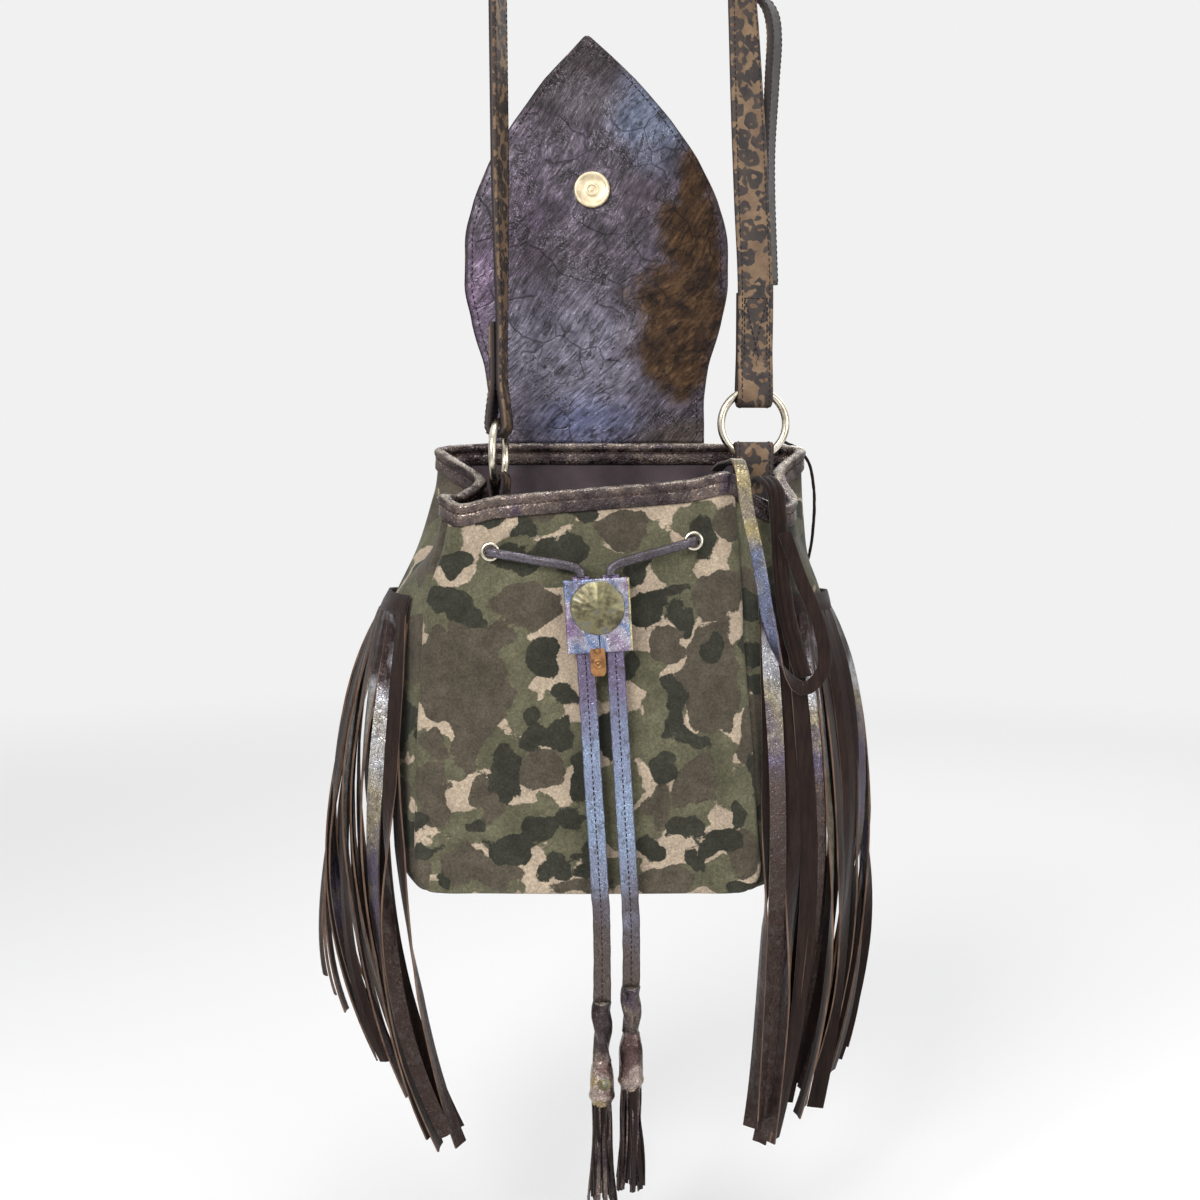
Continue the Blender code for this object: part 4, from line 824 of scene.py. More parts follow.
def slab(outer, inner, name="slab"):
    """A sheet between two grids, closed along its edges."""
    rows, cols = outer.shape[:2]
    size = rows * cols
    points = np.concatenate([outer.reshape(-1, 3), inner.reshape(-1, 3)])
    faces = []
    for r in range(rows - 1):
        for c in range(cols - 1):
            a = r * cols + c
            faces.append((a, a + 1, a + cols + 1, a + cols))
            faces.append(tuple(size + i for i in (a, a + cols, a + cols + 1, a + 1)))
    edge = [(0, c) for c in range(cols)] + [(r, cols - 1) for r in range(1, rows)]
    edge += [(rows - 1, c) for c in range(cols - 2, -1, -1)]
    edge += [(r, 0) for r in range(rows - 2, 0, -1)]
    for k, (r, c) in enumerate(edge):
        r2, c2 = edge[(k + 1) % len(edge)]
        a, b = r * cols + c, r2 * cols + c2
        faces.append((b, a, size + a, size + b))
    return outwards(mesh_of(name, points, faces))


def rounded(width, thick, n=4, flat=3):
    """Points of a strap's section, anticlockwise, as (across, up)."""
    r = thick * 0.46
    pts = []
    for cx, a0 in ((width / 2 - r, -90), (-(width / 2 - r), 90)):
        for k in range(n + 1):
            a = math.radians(a0 + 180 * k / n)
            pts.append((cx + r * math.cos(a), (thick / 2) * math.sin(a)))
        sign = 1 if cx > 0 else -1
        for k in range(1, flat + 1):
            pts.append((cx * (1 - 2 * k / (flat + 1)), thick / 2 * sign))
    return pts


def sweep(name, path, section, closed=False, wobble=None):
    """A loft of one section along (centre, across) stations, with its own lengths
    as attributes: along, across, and side, 1 on the face that looks backwards."""
    pts, faces, along, across, side = [], [], [], [], []
    n, m = len(section), len(path)
    run = 0.0
    for i, (p, w) in enumerate(path):
        before = path[(i - 1) % m if closed else max(i - 1, 0)][0]
        after = path[(i + 1) % m if closed else min(i + 1, m - 1)][0]
        t = (after - before).normalized()
        w = (w - t * w.dot(t)).normalized()
        u = t.cross(w)
        if i:
            run += (p - path[i - 1][0]).length
        sec = section(i / (m - 1)) if callable(section) else section
        for j, (a, b) in enumerate(sec):
            q = p + w * a + u * b
            if wobble:
                q = q + (w * a + u * b).normalized() * wobble(i, j, q)
            pts.append(q)
            along.append(run)
            across.append(a)
            side.append(1.0 if b < 0 else 0.0)
    for i in range(m if closed else m - 1):
        a, b = i * n, (i + 1) % m * n
        for j in range(n):
            k = (j + 1) % n
            faces.append((a + j, a + k, b + k, b + j))
    if not closed:
        faces.append(tuple(range(n))[::-1])
        faces.append(tuple(range((m - 1) * n, m * n)))
    return outwards(mesh_of(name, pts, faces, {"along": along, "across": across, "side": side}))


def dense(path, step=0.0022):
    """More stations on a smooth line through (centre, across) stations."""
    ps = [p for p, _ in path]
    ws = [w.normalized() for _, w in path]
    for i in range(1, len(ws)):
        if ws[i].dot(ws[i - 1]) < 0:
            ws[i] = -ws[i]
    out = []
    for k in range(len(ps) - 1):
        parts = max(int((ps[k + 1] - ps[k]).length / step), 1)
        for j in range(parts):
            u = j / parts
            out.append((spline(ps, k + u), ws[k].lerp(ws[k + 1], u)))
    out.append((ps[-1], ws[-1]))
    return out


def revolve(name, profile, steps, matrix, shape=None):
    """A turned form; shape moves a point by its angle, radius and height."""
    pts, faces = [], []
    rings = []
    for r, h in profile:
        if r < 1e-7:
            rings.append([len(pts)])
            pts.append(Vector((0, 0, h)))
            continue
        line = []
        for k in range(steps):
            a = math.tau * k / steps
            rr, hh = shape(a, r, h) if shape else (r, h)
            line.append(len(pts))
            pts.append(Vector((rr * math.cos(a), rr * math.sin(a), hh)))
        rings.append(line)
    loop = len(rings[0]) > 1
    pairs = list(zip(rings, rings[1:])) + ([(rings[-1], rings[0])] if loop else [])
    for a, b in pairs:
        for k in range(steps):
            j = (k + 1) % steps
            if len(a) == 1 and len(b) == 1:
                break
            if len(a) == 1:
                faces.append((a[0], b[k], b[j]))
            elif len(b) == 1:
                faces.append((a[k], b[0], a[j]))
            else:
                faces.append((a[k], b[k], b[j], a[j]))
    return outwards(mesh_of(name, [matrix @ p for p in pts], faces))


def torus(name, centre, turn, big, small, steps=96, round_=18):
    w, n = across(turn)
    up = Vector((0, 0, 1))
    path = []
    for k in range(steps):
        a = math.tau * k / steps
        path.append((centre + (w * math.cos(a) + up * math.sin(a)) * big, n))
    sec = [(small * math.cos(math.tau * k / round_), small * math.sin(math.tau * k / round_)) for k in range(round_)]
    return sweep(name, path, sec, closed=True)


def stitch_mesh(name, lines, size=(0.0024, 0.00042), gap=0.0009):
    """Separate stitches along lines of (point, out); each lies on the surface."""
    pts, faces = [], []
    half, r = size[0] / 2, size[1]
    for line in lines:
        run, k = size[0], 0
        for (p, n), (q, _) in zip(line, line[1:]):
            step = (q - p).length
            if step < 1e-9:
                continue
            while run < step:
                at = p + (q - p) * (run / step)
                t = (q - p).normalized()
                b = t.cross(n).normalized()
                base = len(pts)
                for f, s in ((-1, 0.35), (-0.6, 1), (0.6, 1), (1, 0.35)):
                    c = at + t * half * f + n * (r * (0.25 if abs(f) < 1 else -0.35))
                    for j in range(6):
                        a = math.tau * j / 6
                        pts.append(c + (b * math.cos(a) + n * math.sin(a) * 0.8) * r * s)
                for i in range(3):
                    for j in range(6):
                        a, d = base + i * 6 + j, base + i * 6 + (j + 1) % 6
                        faces.append((a, d, d + 6, a + 6))
                faces.append(tuple(base + j for j in range(5, -1, -1)))
                faces.append(tuple(base + 18 + j for j in range(6)))
                run += size[0] + gap
            run -= step
    return outwards(mesh_of(name, pts, faces))


def holed(mesh, cutters):
    """The mesh with round holes cut through it."""
    obj = bpy.data.objects.new("cutting", mesh)
    bpy.context.scene.collection.objects.link(obj)
    tools = []
    for matrix, radius in cutters:
        shape = revolve("hole", [(0, 0.006), (radius, 0.006), (radius, -0.009), (0, -0.009)], 32, matrix)
        tool = bpy.data.objects.new("hole", shape)
        bpy.context.scene.collection.objects.link(tool)
        mod = obj.modifiers.new("hole", "BOOLEAN")
        mod.object, mod.operation, mod.solver = tool, "DIFFERENCE", "EXACT"
        tools.append(tool)
    bpy.context.view_layer.update()
    made = bpy.data.meshes.new_from_object(obj.evaluated_get(bpy.context.evaluated_depsgraph_get()))
    for o in (obj, *tools):
        bpy.data.objects.remove(o)
    return made


# ---- the suede body -----------------------------------------------------------
def between(a, b, count, near=0.0):
    """Even values from a to b, with some more close to both ends."""
    vals = set(a + (b - a) * k / count for k in range(count + 1))
    for d in (0.006, 0.02, 0.045, 0.08) if near else ():
        vals |= {a + d, b - d}
    return sorted(vals)


SECTIONS = {
    "front": between(*FRONT_EDGES, 96, 1),
    "right": between(FRONT_EDGES[1], BACK_EDGES[0], 88, 1),
    "back": between(*BACK_EDGES, 64, 1),
    "left": between(BACK_EDGES[1], FRONT_EDGES[0] + COUNT, 88, 1),
}
QS = [k / 14 for k in range(14)] + [1 + k / 100 for k in range(100)] + [2 + k / 8 for k in range(9)]


def folds(p, q):
    """Soft unevenness of the hanging suede, outwards, in metres."""
    side = min(abs(p.y) / 0.045, 1)
    amp = 0.0013 * min(max((q - 0.1) / 0.5, 0), 1) * (1 - 0.75 * min(max((q - 1.75) / 0.25, 0), 1))
    f = noise.noise(Vector((p.x * 17, p.y * 10, p.z * 9))) * 1.5
    f += noise.noise(Vector((p.x * 42, p.y * 30 + 5, p.z * 26))) * 0.55
    d = amp * f
    for ex, ez in FRONT_EYELETS if p.y < 0 else BACK_EYELETS:
        dx, dz = p.x - ex, p.z - ez
        r = math.hypot(dx, dz)
        pull = math.exp(-((r / 0.030) ** 2)) * (1 - math.exp(-((r / 0.010) ** 2)))
        d += 0.0011 * pull * math.cos(7 * math.atan2(dz, dx)) * side
    if q > 1.7:
        rise = min((q - 1.7) / 0.3, 1) * max(1 - max(q - 2, 0) * 1.5, 0.25)
        d += 0.0007 * rise * noise.noise(Vector((p.x * 110, p.y * 110, 3.3)))
    return d


ALL_T = [t for k in SECTIONS for t in SECTIONS[k][:-1]]
FACE = np.array([[wall_face(t, q) for t in ALL_T] for q in QS])
_along = np.roll(FACE, -1, 1) - np.roll(FACE, 1, 1)
_up = np.gradient(FACE, axis=0)
NORMAL = np.cross(_along, _up)
NORMAL /= np.linalg.norm(NORMAL, axis=2, keepdims=True)
FOLD = np.array([[folds(Vector(FACE[i, j]), QS[i]) for j in range(len(ALL_T))] for i in range(len(QS))])


def skin(out):
    return FACE + NORMAL * (FOLD + out)[..., None]


START = {}
_k = 0
for _name in SECTIONS:
    START[_name] = _k
    _k += len(SECTIONS[_name]) - 1


def columns(name):
    n = len(SECTIONS[name])
    return [(START[name] + i) % len(ALL_T) for i in range(n)]


def hole_frames(which):
    edges = FRONT_EDGES if which == "front" else BACK_EDGES
    frames = []
    for x, z in FRONT_EYELETS if which == "front" else BACK_EYELETS:
        t = station_at(x, z, edges)
        q = q_of(t, z)
        p = wall_face(t, q)
        frames.append((facing(p + wall_normal(t, q) * folds(p, q), wall_normal(t, q)), t, q))
    return frames


HOLES = {k: hole_frames(k) for k in ("front", "back")}


# Blots of the front's print: X, Z, half width, half height in mm, and tilt.
FRONT_PRINT = {
    "umber": (
        (-112, -603, 14, 27, 0), (-89, -606, 22, 36, 8), (-75, -581, 8, 10, 0), (-92, -650, 7, 12, 0),
        (-56, -558, 19, 12, 0), (58, -604, 17, 32, -6), (64, -554, 15, 13, 0), (68, -509, 9, 9, 0),
        (-118, -672, 11, 14, 0), (-113, -692, 12, 8, 0), (-81, -680, 8, 13, 10), (4, -512, 13, 10, 0),
        (-47, -662, 13, 11, 0), (-113, -648, 8, 5, -40), (26, -686, 6, 14, 0), (31, -585, 8, 10, 0),
        (49, -672, 14, 14, 0), (-126, -727, 6, 12, 0), (-97, -722, 12, 11, 0), (-76, -728, 15, 10, 0),
        (30, -734, 15, 8, 0), (84, -640, 7, 16, 0), (-60, -500, 16, 5, 0), (80, -716, 9, 14, 0),
        (-128, -540, 5, 14, 0), (-20, -735, 14, 5, 0),
    ),
    "olive": (
        (-100, -560, 16, 9, -30), (-100, -534, 9, 9, 0), (-40, -526, 13, 9, 10), (-68, -529, 9, 6, 0),
        (-45, -592, 9, 13, 0), (-33, -614, 6, 8, 0), (-54, -625, 6, 6, 0), (-53, -640, 9, 8, 0),
        (-36, -640, 9, 11, 0), (-69, -668, 9, 16, 0), (-126, -697, 8, 5, 0), (-88, -698, 6, 4, 0),
        (-119, -713, 6, 5, 0), (-68, -712, 11, 10, 0), (-48, -700, 9, 7, 20), (-38, -725, 9, 6, 15),
        (-107, -732, 5, 4, 0), (-18, -718, 5, 11, 0), (76, -692, 6, 7, 0), (43, -700, 10, 7, 0),
        (65, -708, 11, 8, 0), (51, -718, 5, 7, 0), (20, -712, 7, 9, 0), (40, -568, 8, 9, 0),
        (60, -586, 7, 8, 0), (36, -615, 6, 9, 0), (35, -634, 4, 9, 0), (49, -644, 9, 5, -40),
        (53, -520, 6, 11, 0), (35, -550, 8, 4, 0), (19, -562, 10, 12, 0), (13, -536, 6, 8, 0),
        (-4, -640, 5, 12, 0), (-21, -668, 7, 15, 0), (-30, -692, 9, 7, 0), (-84, -506, 9, 5, 0),
        (28, -662, 6, 9, 0), (84, -580, 6, 14, 0), (88, -667, 5, 10, 0), (8, -600, 5, 9, 0),
        (-120, -510, 5, 6, 0), (-58, -512, 7, 6, 0), (-28, -527, 6, 10, 0), (-52, -532, 8, 5, 0), (-20, -500, 10, 6, 0), (84, -738, 8, 4, 0),
    ),
    "green": (
        (-88, -564, 34, 15, 0), (-62, -592, 12, 13, 0), (-61, -623, 9, 13, 0), (-43, -625, 6, 7, 0),
        (-80, -652, 14, 8, 0), (-104, -656, 11, 10, 0), (-74, -700, 32, 11, 0), (-32, -706, 11, 18, -15),
        (-112, -718, 9, 9, 0), (-47, -690, 6, 9, 0), (17, -599, 11, 11, 0), (29, -624, 10, 13, 0),
        (58, -652, 16, 14, 0), (30, -650, 12, 10, 0), (42, -688, 14, 9, 0), (72, -676, 10, 14, 0),
        (80, -676, 6, 12, 0), (25, -694, 10, 8, 0), (65, -731, 12, 9, 0), (47, -731, 10, 7, 0),
        (-16, -514, 9, 7, 0), (20, -518, 10, 8, 0), (36, -532, 12, 8, 0), (40, -556, 14, 12, 0),
        (-117, -519, 9, 8, 0), (-110, -524, 12, 6, 30), (-60, -530, 22, 10, 0), (-44, -506, 13, 6, 0),
        (-122, -556, 8, 12, 0), (-10, -560, 12, 14, 0), (-4, -600, 9, 14, 0), (-26, -648, 10, 12, 0),
        (2, -672, 12, 14, 0), (10, -640, 8, 10, 0), (4, -704, 12, 10, 0), (84, -600, 9, 20, 0),
        (78, -532, 8, 14, 0), (-90, -738, 22, 5, 0), (-124, -668, 6, 20, 0), (0, -730, 12, 6, 0),
        (50, -506, 12, 7, 0), (88, -700, 8, 16, 0), (-30, -533, 22, 12, 0), (-2, -536, 16, 10, 0),
        (-66, -545, 16, 9, 0), (-16, -690, 8, 14, 0), (-60, -652, 10, 9, 0), (72, -604, 10, 16, 0),
    ),
}


def scattered(width, low, high, seed):
    """Blots of the same print for a panel of this width, spread unevenly."""
    rng = np.random.default_rng(seed)
    out = {"green": [], "umber": [], "olive": []}
    pitch = 21
    for row in range(int((high - low) / pitch) + 2):
        for col in range(int(width / pitch) + 2):
            x = -width / 2 + (col + 0.5 * (row % 2)) * pitch + rng.uniform(-7, 7)
            z = low + row * pitch + rng.uniform(-7, 7)
            kind = rng.choice(["umber", "olive", "olive", "green"])
            big = {"umber": (9, 19), "olive": (4.5, 11), "green": (8, 14)}[kind]
            a = rng.uniform(*big)
            blot = (x, z, a, a * rng.uniform(0.6, 1.25), rng.uniform(-60, 60))
            out[kind].append(blot)
            if kind == "olive" or rng.uniform() < 0.3:
                out["green"].append((x + rng.uniform(-8, 8), z + rng.uniform(-8, 8), a * 1.7, a * 1.4, rng.uniform(-60, 60)))
    return out


def print_fields(mesh, flat, blots, seed=0):
    """Depth inside the nearest blot of each colour, below 0 outside it."""
    count = len(mesh.vertices)
    co = np.empty(count * 3)
    mesh.vertices.foreach_get("co", co)
    co = co.reshape(-1, 3)
    xz = np.empty((count, 2))
    for i, p in enumerate(co):
        v = Vector(p)
        lobe = Vector((noise.noise(v * 62 + Vector((seed, 0, 0))), 0, noise.noise(v * 62 + Vector((0, 9, seed)))))
        lobe += Vector((noise.noise(v * 150), 0, noise.noise(v * 150 + Vector((0, 5, 0))))) * 0.45
        xz[i] = (v[flat[0]] / MM + lobe.x * 7, v[flat[1]] / MM + lobe.z * 7)
    for key, shapes in blots.items():
        best = np.full(count, -1.0)
        for x, z, a, b, tilt in shapes:
            c, s = math.cos(math.radians(tilt)), math.sin(math.radians(tilt))
            dx, dz = xz[:, 0] - x, xz[:, 1] - z
            d = np.hypot((dx * c + dz * s) / a, (dz * c - dx * s) / b)
            best = np.maximum(best, (1 - d) * min(a, b) / 9)
        best += {"green": 0.16, "umber": 0.03, "olive": 0.04}[key]
        mesh.attributes.new(key, "FLOAT", "POINT").data.foreach_set("value", best.astype(np.float32))
    return mesh


def suede_panel(section, name, node):
    cols = columns(section)
    outer = skin(0.0)[:, cols]
    inner = skin(-SUEDE)[:, cols]
    normal = NORMAL[:, cols]
    run = np.linalg.norm(np.diff(outer, axis=1), axis=2)
    run = np.concatenate([np.zeros((len(QS), 1)), np.cumsum(run, axis=1)], axis=1)
    d = np.minimum(run, run[:, -1:] - run)
    dip = 0.0013 * np.exp(-((d / 0.0016) ** 2)) - 0.0005 * np.exp(-(((d - 0.0042) / 0.0022) ** 2))
    outer = outer - normal * np.minimum(dip, 0.0014)[..., None]
    low = [i for i, q in enumerate(QS) if q < 0.3]
    for i in low:
        outer[i] -= normal[i] * 0.0009 * math.exp(-((QS[i] / 0.1) ** 2))
    keep = len(QS) - 5
    mesh = slab(outer[:keep], inner[:keep])
    if section in HOLES:
        mesh = holed(mesh, [(m, EYELET_HOLE_R + EYELET_TUBE + 0.0004) for m, _, _ in HOLES[section]])
    if section == "front":
        print_fields(mesh, (0, 2), FRONT_PRINT)
    else:
        wide = section == "back"
        blots = scattered(290 if wide else 120, BOTTOM_Z / MM - 10, -440, len(section))
        print_fields(mesh, (0, 2) if wide else (1, 2), blots, 3)
    return piece(name, mesh, "camo", "bag", node)


suede_panel("front", "front_suede", "front_panel")
suede_panel("right", "gusset_right_suede", "gusset_right")
suede_panel("back", "back_suede", "back_panel")
suede_panel("left", "gusset_left_suede", "gusset_left")


def base_suede():
    """The bottom, a flat piece inside the seam."""
    inset = SUEDE + 2.5 * GAP
    edge = FACE[0] - NORMAL[0] * np.array((1, 1, 0)) * inset
    edge = np.concatenate([edge, edge[:1]])
    grids = []
    for z in (BOTTOM_Z, BOTTOM_Z + SUEDE):
        rows = np.array([edge * (k / 40) for k in range(1, 41)])
        rows[..., 2] = z
        grids.append(rows)
    mesh = slab(*grids)
    print_fields(mesh, (0, 1), scattered(250, -60, 60, 5))
    piece("base_suede", mesh, "camo", "bag", "base_panel")


base_suede()


def lining_cloth():
    rings = []
    for depth, floor in ((LINING_IN, SUEDE + GAP), (LINING_IN + LINING, SUEDE + GAP + LINING)):
        s = skin(-depth)
        ripple = np.array([[noise.noise(Vector(p) * 34) * 0.0016 + noise.noise(Vector((p[0] * 80, p[1] * 80, p[2] * 20))) * 0.0008 for p in r] for r in s])
        ripple *= np.clip((1.9 - np.array(QS)) / 0.3, 0, 1)[:, None]
        s = s - NORMAL * np.clip(np.abs(ripple), 0, 0.0018)[..., None]
        s[..., 2] = np.maximum(s[..., 2], BOTTOM_Z + floor)
        s[0, :, 2] = BOTTOM_Z + floor
        rings.append(s)
    rows, n = rings[0].shape[:2]
    pts = np.concatenate([r.reshape(-1, 3) for r in rings])
    faces = [tuple(range(n)), tuple(rows * n + i for i in range(n))]
    for base in (0, rows * n):
        for k in range(rows - 1):
            for i in range(n):
                a, b = base + k * n + i, base + k * n + (i + 1) % n
                faces.append((a, b, b + n, a + n))
    for i in range(n):
        a, b = (rows - 1) * n + i, (rows - 1) * n + (i + 1) % n
        faces.append((a, b, b + rows * n, a + rows * n))
    mesh = outwards(mesh_of("lining", pts, faces))
    mesh = holed(mesh, [(m, EYELET_HOLE_R + EYELET_TUBE + 0.0004) for k in HOLES for m, _, _ in HOLES[k]])
    piece("lining_cloth", mesh, "cloth", "bag", "lining")


lining_cloth()


def rim():
    """The binding: flat legs and a rolled edge, wrinkled across."""
    row2, row3 = QS.index(2.0), len(QS) - 1
    out = GAP + 0.15 * MM
    inn = -(LINING_IN + LINING + out)
    a, b = out + BINDING, inn - BINDING
    mid, wide = (a + b) / 2, (a - b) / 2 + ROLL
    sec = [(out, -BINDING_DEPTH), (out + 0.7 * MM, -BINDING_DEPTH - 0.2 * MM), (a, -BINDING_DEPTH + 0.5 * MM)]
    sec += [(a + 0.1 * MM, -7.5 * MM), (a, -4.6 * MM), (a - 0.1 * MM, -3.7 * MM), (a - 0.45 * MM, -2.9 * MM), (a + 0.1 * MM, -2.2 * MM)]
    for k in range(13):
        ang = math.radians(-22 + 224 * k / 12)
        sec.append((mid + wide * math.copysign(abs(math.cos(ang)) ** 0.8, math.cos(ang)), 0.6 * MM + 3.0 * MM * math.copysign(abs(math.sin(ang)) ** 0.9, math.sin(ang))))
    sec += [(b - 0.1 * MM, -2.2 * MM), (b + 0.45 * MM, -2.9 * MM), (b, -4.6 * MM), (b, -BINDING_DEPTH + 0.5 * MM), (b + 0.6 * MM, -BINDING_DEPTH - 0.2 * MM), (inn, -BINDING_DEPTH), (inn, 0.3 * MM), (out, 0.3 * MM)]
    n = len(sec)
    pts, faces = [], []
    stitch_out, stitch_in = [], []
    cols = len(ALL_T)
    finer = 2
    total = cols * finer
    run = 0.0
    prev = None
    for i in range(total):
        k, u = i // finer, (i % finer) / finer
        j = (k + 1) % cols
        lo = FACE[row2, k] * (1 - u) + FACE[row2, j] * u
        hi = FACE[row3, k] * (1 - u) + FACE[row3, j] * u
        nl = Vector(NORMAL[row2, k] * (1 - u) + NORMAL[row2, j] * u).normalized()
        nh = Vector(NORMAL[row3, k] * (1 - u) + NORMAL[row3, j] * u).normalized()
        fl = FOLD[row2, k] * (1 - u) + FOLD[row2, j] * u
        fh = FOLD[row3, k] * (1 - u) + FOLD[row3, j] * u
        lo, hi = Vector(lo), Vector(hi)
        if prev is not None:
            run += (hi - prev).length
        prev = hi
        for o, h in sec:
            s = min(max(1 + h / BINDING_DEPTH, 0), 1)
            base = lo.lerp(hi, s) + nl.lerp(nh, s).normalized() * (o + fl * (1 - s) + fh * s)
            p = base + Vector((0, 0, max(h, 0) + (min(h + BINDING_DEPTH, 0))))
            w = noise.noise(Vector((run * 260, o * 400, h * 160))) * 0.00028 + noise.noise(Vector((run * 85, 3.0, h * 60))) * 0.00032
            face = 1 if o > mid else -1
            if not (abs(o - out) < 1e-6 or abs(o - inn) < 1e-6):
                p = p + (nh * face if h < 1.5 * MM else Vector((0, 0, 1))) * w
            pts.append(p)
        s = 1 - 2.9 / 10.5
        base = lo.lerp(hi, s)
        nn = nl.lerp(nh, s).normalized()
        stitch_out.append((base + nn * (a - 0.2 * MM + fl * (1 - s) + fh * s), nn))
        stitch_in.append((base + nn * (b + 0.2 * MM + fl * (1 - s) + fh * s), -nn))
    for i in range(total):
        p, q = i * n, (i + 1) % total * n
        for j in range(n):
            k = (j + 1) % n
            faces.append((p + j, p + k, q + k, q + j))
    piece("rim_leather", outwards(mesh_of("rim", pts, faces)), "bronze", "bag", "rim_binding")
    piece("rim_stitches", stitch_mesh("rim_stitches", [stitch_out, stitch_in], (0.0026, 0.00036), 0.0010), "hem", "bag")


rim()


def metal_eyelets():
    back = -(LINING_IN + LINING + 1.4 * GAP)
    front = 1.0 * GAP
    r, tube = EYELET_HOLE_R, EYELET_HOLE_R + EYELET_TUBE
    prof = [(r, back), (r, front + 0.9 * MM)]
    for k in range(9):
        a = math.pi * (1 - k / 8)
        prof.append(((EYELET_RIM_R + r) / 2 + (EYELET_RIM_R - r) / 2 * math.cos(a), front + 0.25 * MM + 1.15 * MM * math.sin(a)))
    prof += [(EYELET_RIM_R, front), (tube, front), (tube, back), (EYELET_RIM_R - 0.5 * MM, back), (EYELET_RIM_R - 0.9 * MM, back - 0.8 * MM), (r + 0.5 * MM, back - 0.8 * MM)]
    for k in HOLES:
        for side, (m, _, _) in zip(("left", "right"), HOLES[k]):
            piece(f"eyelet_{k}_{side}_turned", revolve("eyelet", prof, 48, m), "nickel", "bag", f"eyelet_{k}_{side}")


metal_eyelets()


# ---- flap -----------------------------------------------------------------------
def flap_grid(y, z_from, z_to, rows, cols, grow=0.0):
    out = np.zeros((rows, cols, 3))
    for r in range(rows):
        f = r / (rows - 1)
        z = z_from + (z_to - z_from) * (1 - (1 - f) ** 1.25)
        s = min(max(z, 0) / FLAP_H, 1)
        half = max(flap_half(s), 0.4 * MM) + grow
        mid = FLAP_X + (FLAP_TIP_X - FLAP_X) * max(s - 0.45, 0) ** 2 / 0.3
        for c in range(cols):
            u = -math.cos(math.pi * c / (cols - 1)) * 0.35 + (2 * c / (cols - 1) - 1) * 0.65
            x = mid + half * u
            bow = FLAP_BOW * (1 - u * u) * math.sin(math.pi * min(s * 1.2, 1))
            wave = noise.noise(Vector((x * 16, 4.2, z * 15))) * 0.0012 * min(s * 4, 1)
            wave += noise.noise(Vector((x * 48, 1.1, z * 44))) * 0.00035 * min(s * 4, 1)
            edge = noise.noise(Vector((9.0, s * 14, u))) * 0.0006 * u
            out[r, c] = (x + edge, y - bow + wave, HINGE_Z + z)
    return out


def flap_parts():
    front = flap_grid(FLAP_Y, GAP, FLAP_H, 110, 64)
    back = front + np.array((0, FLAP_LAYER, 0))
    rim_ = front.copy()
    rim_[:, (0, -1), 1] += 0.0005
    piece("flap_face", slab(rim_, back), "hide", "flap", "flap_inner")
    far = flap_grid(FLAP_Y + FLAP_LAYER + GAP, GAP, FLAP_H, 70, 40, 0.0009)
    piece("flap_backing", slab(far, far + np.array((0, FLAP_LAYER, 0))), "bronze", "flap", "flap_outer")
    line = []
    for r in range(2, front.shape[0] - 1):
        row = front[r]
        half = (row[-1][0] - row[0][0]) / 2
        if half < 0.008:
            break
        x = row[0][0] + 0.0042
        c = int(np.argmin(abs(row[:, 0] - x)))
        y = float(np.interp(x, row[:, 0], row[:, 1]))
        line.append((Vector((x, y - 0.0001, row[c][2])), Vector((0, -1, 0))))
    other = []
    for r in range(2, front.shape[0] - 1):
        row = front[r]
        half = (row[-1][0] - row[0][0]) / 2
        if half < 0.008:
            break
        x = row[-1][0] - 0.0042
        y = float(np.interp(x, row[:, 0], row[:, 1]))
        other.append((Vector((x, y - 0.0001, row[0][2])), Vector((0, -1, 0))))
    piece("flap_stitches", stitch_mesh("flap_stitches", [line + other[::-1]], (0.0026, 0.00040), 0.0012), "thread", "flap")
    x, z = SNAP_AT
    s = (z - HINGE_Z) / FLAP_H
    rise = (flap_at(x, s + 0.02) - flap_at(x, s - 0.02)) / (0.04 * FLAP_H)
    at = Vector((x, FLAP_Y - flap_at(x, s) - GAP - 0.15 * MM, z))
    prof = [(0, 1.65), (0.7, 1.6), (1.0, 1.1), (1.9, 1.05), (2.6, 1.1), (3.0, 1.9), (3.5, 2.1), (4.1, 1.9), (4.4, 1.55), (5.2, 1.5), (8.9, 1.55), (9.3, 1.9), (9.9, 2.2), (10.9, 2.5), (11.6, 2.2), (12.0, 1.3), (11.8, 0.4), (11.4, 0), (0, 0)]
    piece("snap_face", revolve("snap", [(r * MM, h * MM) for r, h in prof], 72, facing(at, (0, -1, -rise))), "cream", "flap", "snap_disc")


flap_parts()
frame["nodes"]["flap_root"].data.materials[0] = M["hide"]


# ---- rings, tabs and straps -------------------------------------------------------
def strap_lines(path, width, thick, inset=0.0026, faces=(1, -1), spans=((0, 1),)):
    lines = []
    for lo, hi in spans:
        part = path[int(len(path) * lo):max(int(len(path) * hi), 2)]
        for f in faces:
            for e in (-1, 1):
                line = []
                for i, (p, w) in enumerate(part):
                    t = (part[min(i + 1, len(part) - 1)][0] - part[max(i - 1, 0)][0]).normalized()
                    w = (w - t * w.dot(t)).normalized()
                    u = t.cross(w)
                    line.append((p + w * e * (width / 2 - inset) + u * f * (thick / 2 + 0.00003), u * f))
                lines.append(line)
    return lines


def strap(name, stations, width, thick, node, mat="leopard", body="bag"):
    path = dense(stations)
    mesh = sweep(name, path, rounded(width, thick, 5, 5))
    if node.startswith("strap"):
        for item in mesh.attributes["side"].data:
            item.value = 1 - item.value
    piece(name, mesh, mat, body, node)
    lines = strap_lines(path, width, thick)
    piece(name + "_stitches", stitch_mesh(name, lines, (0.0025, 0.00034), 0.0011), "thread", body)
    return path


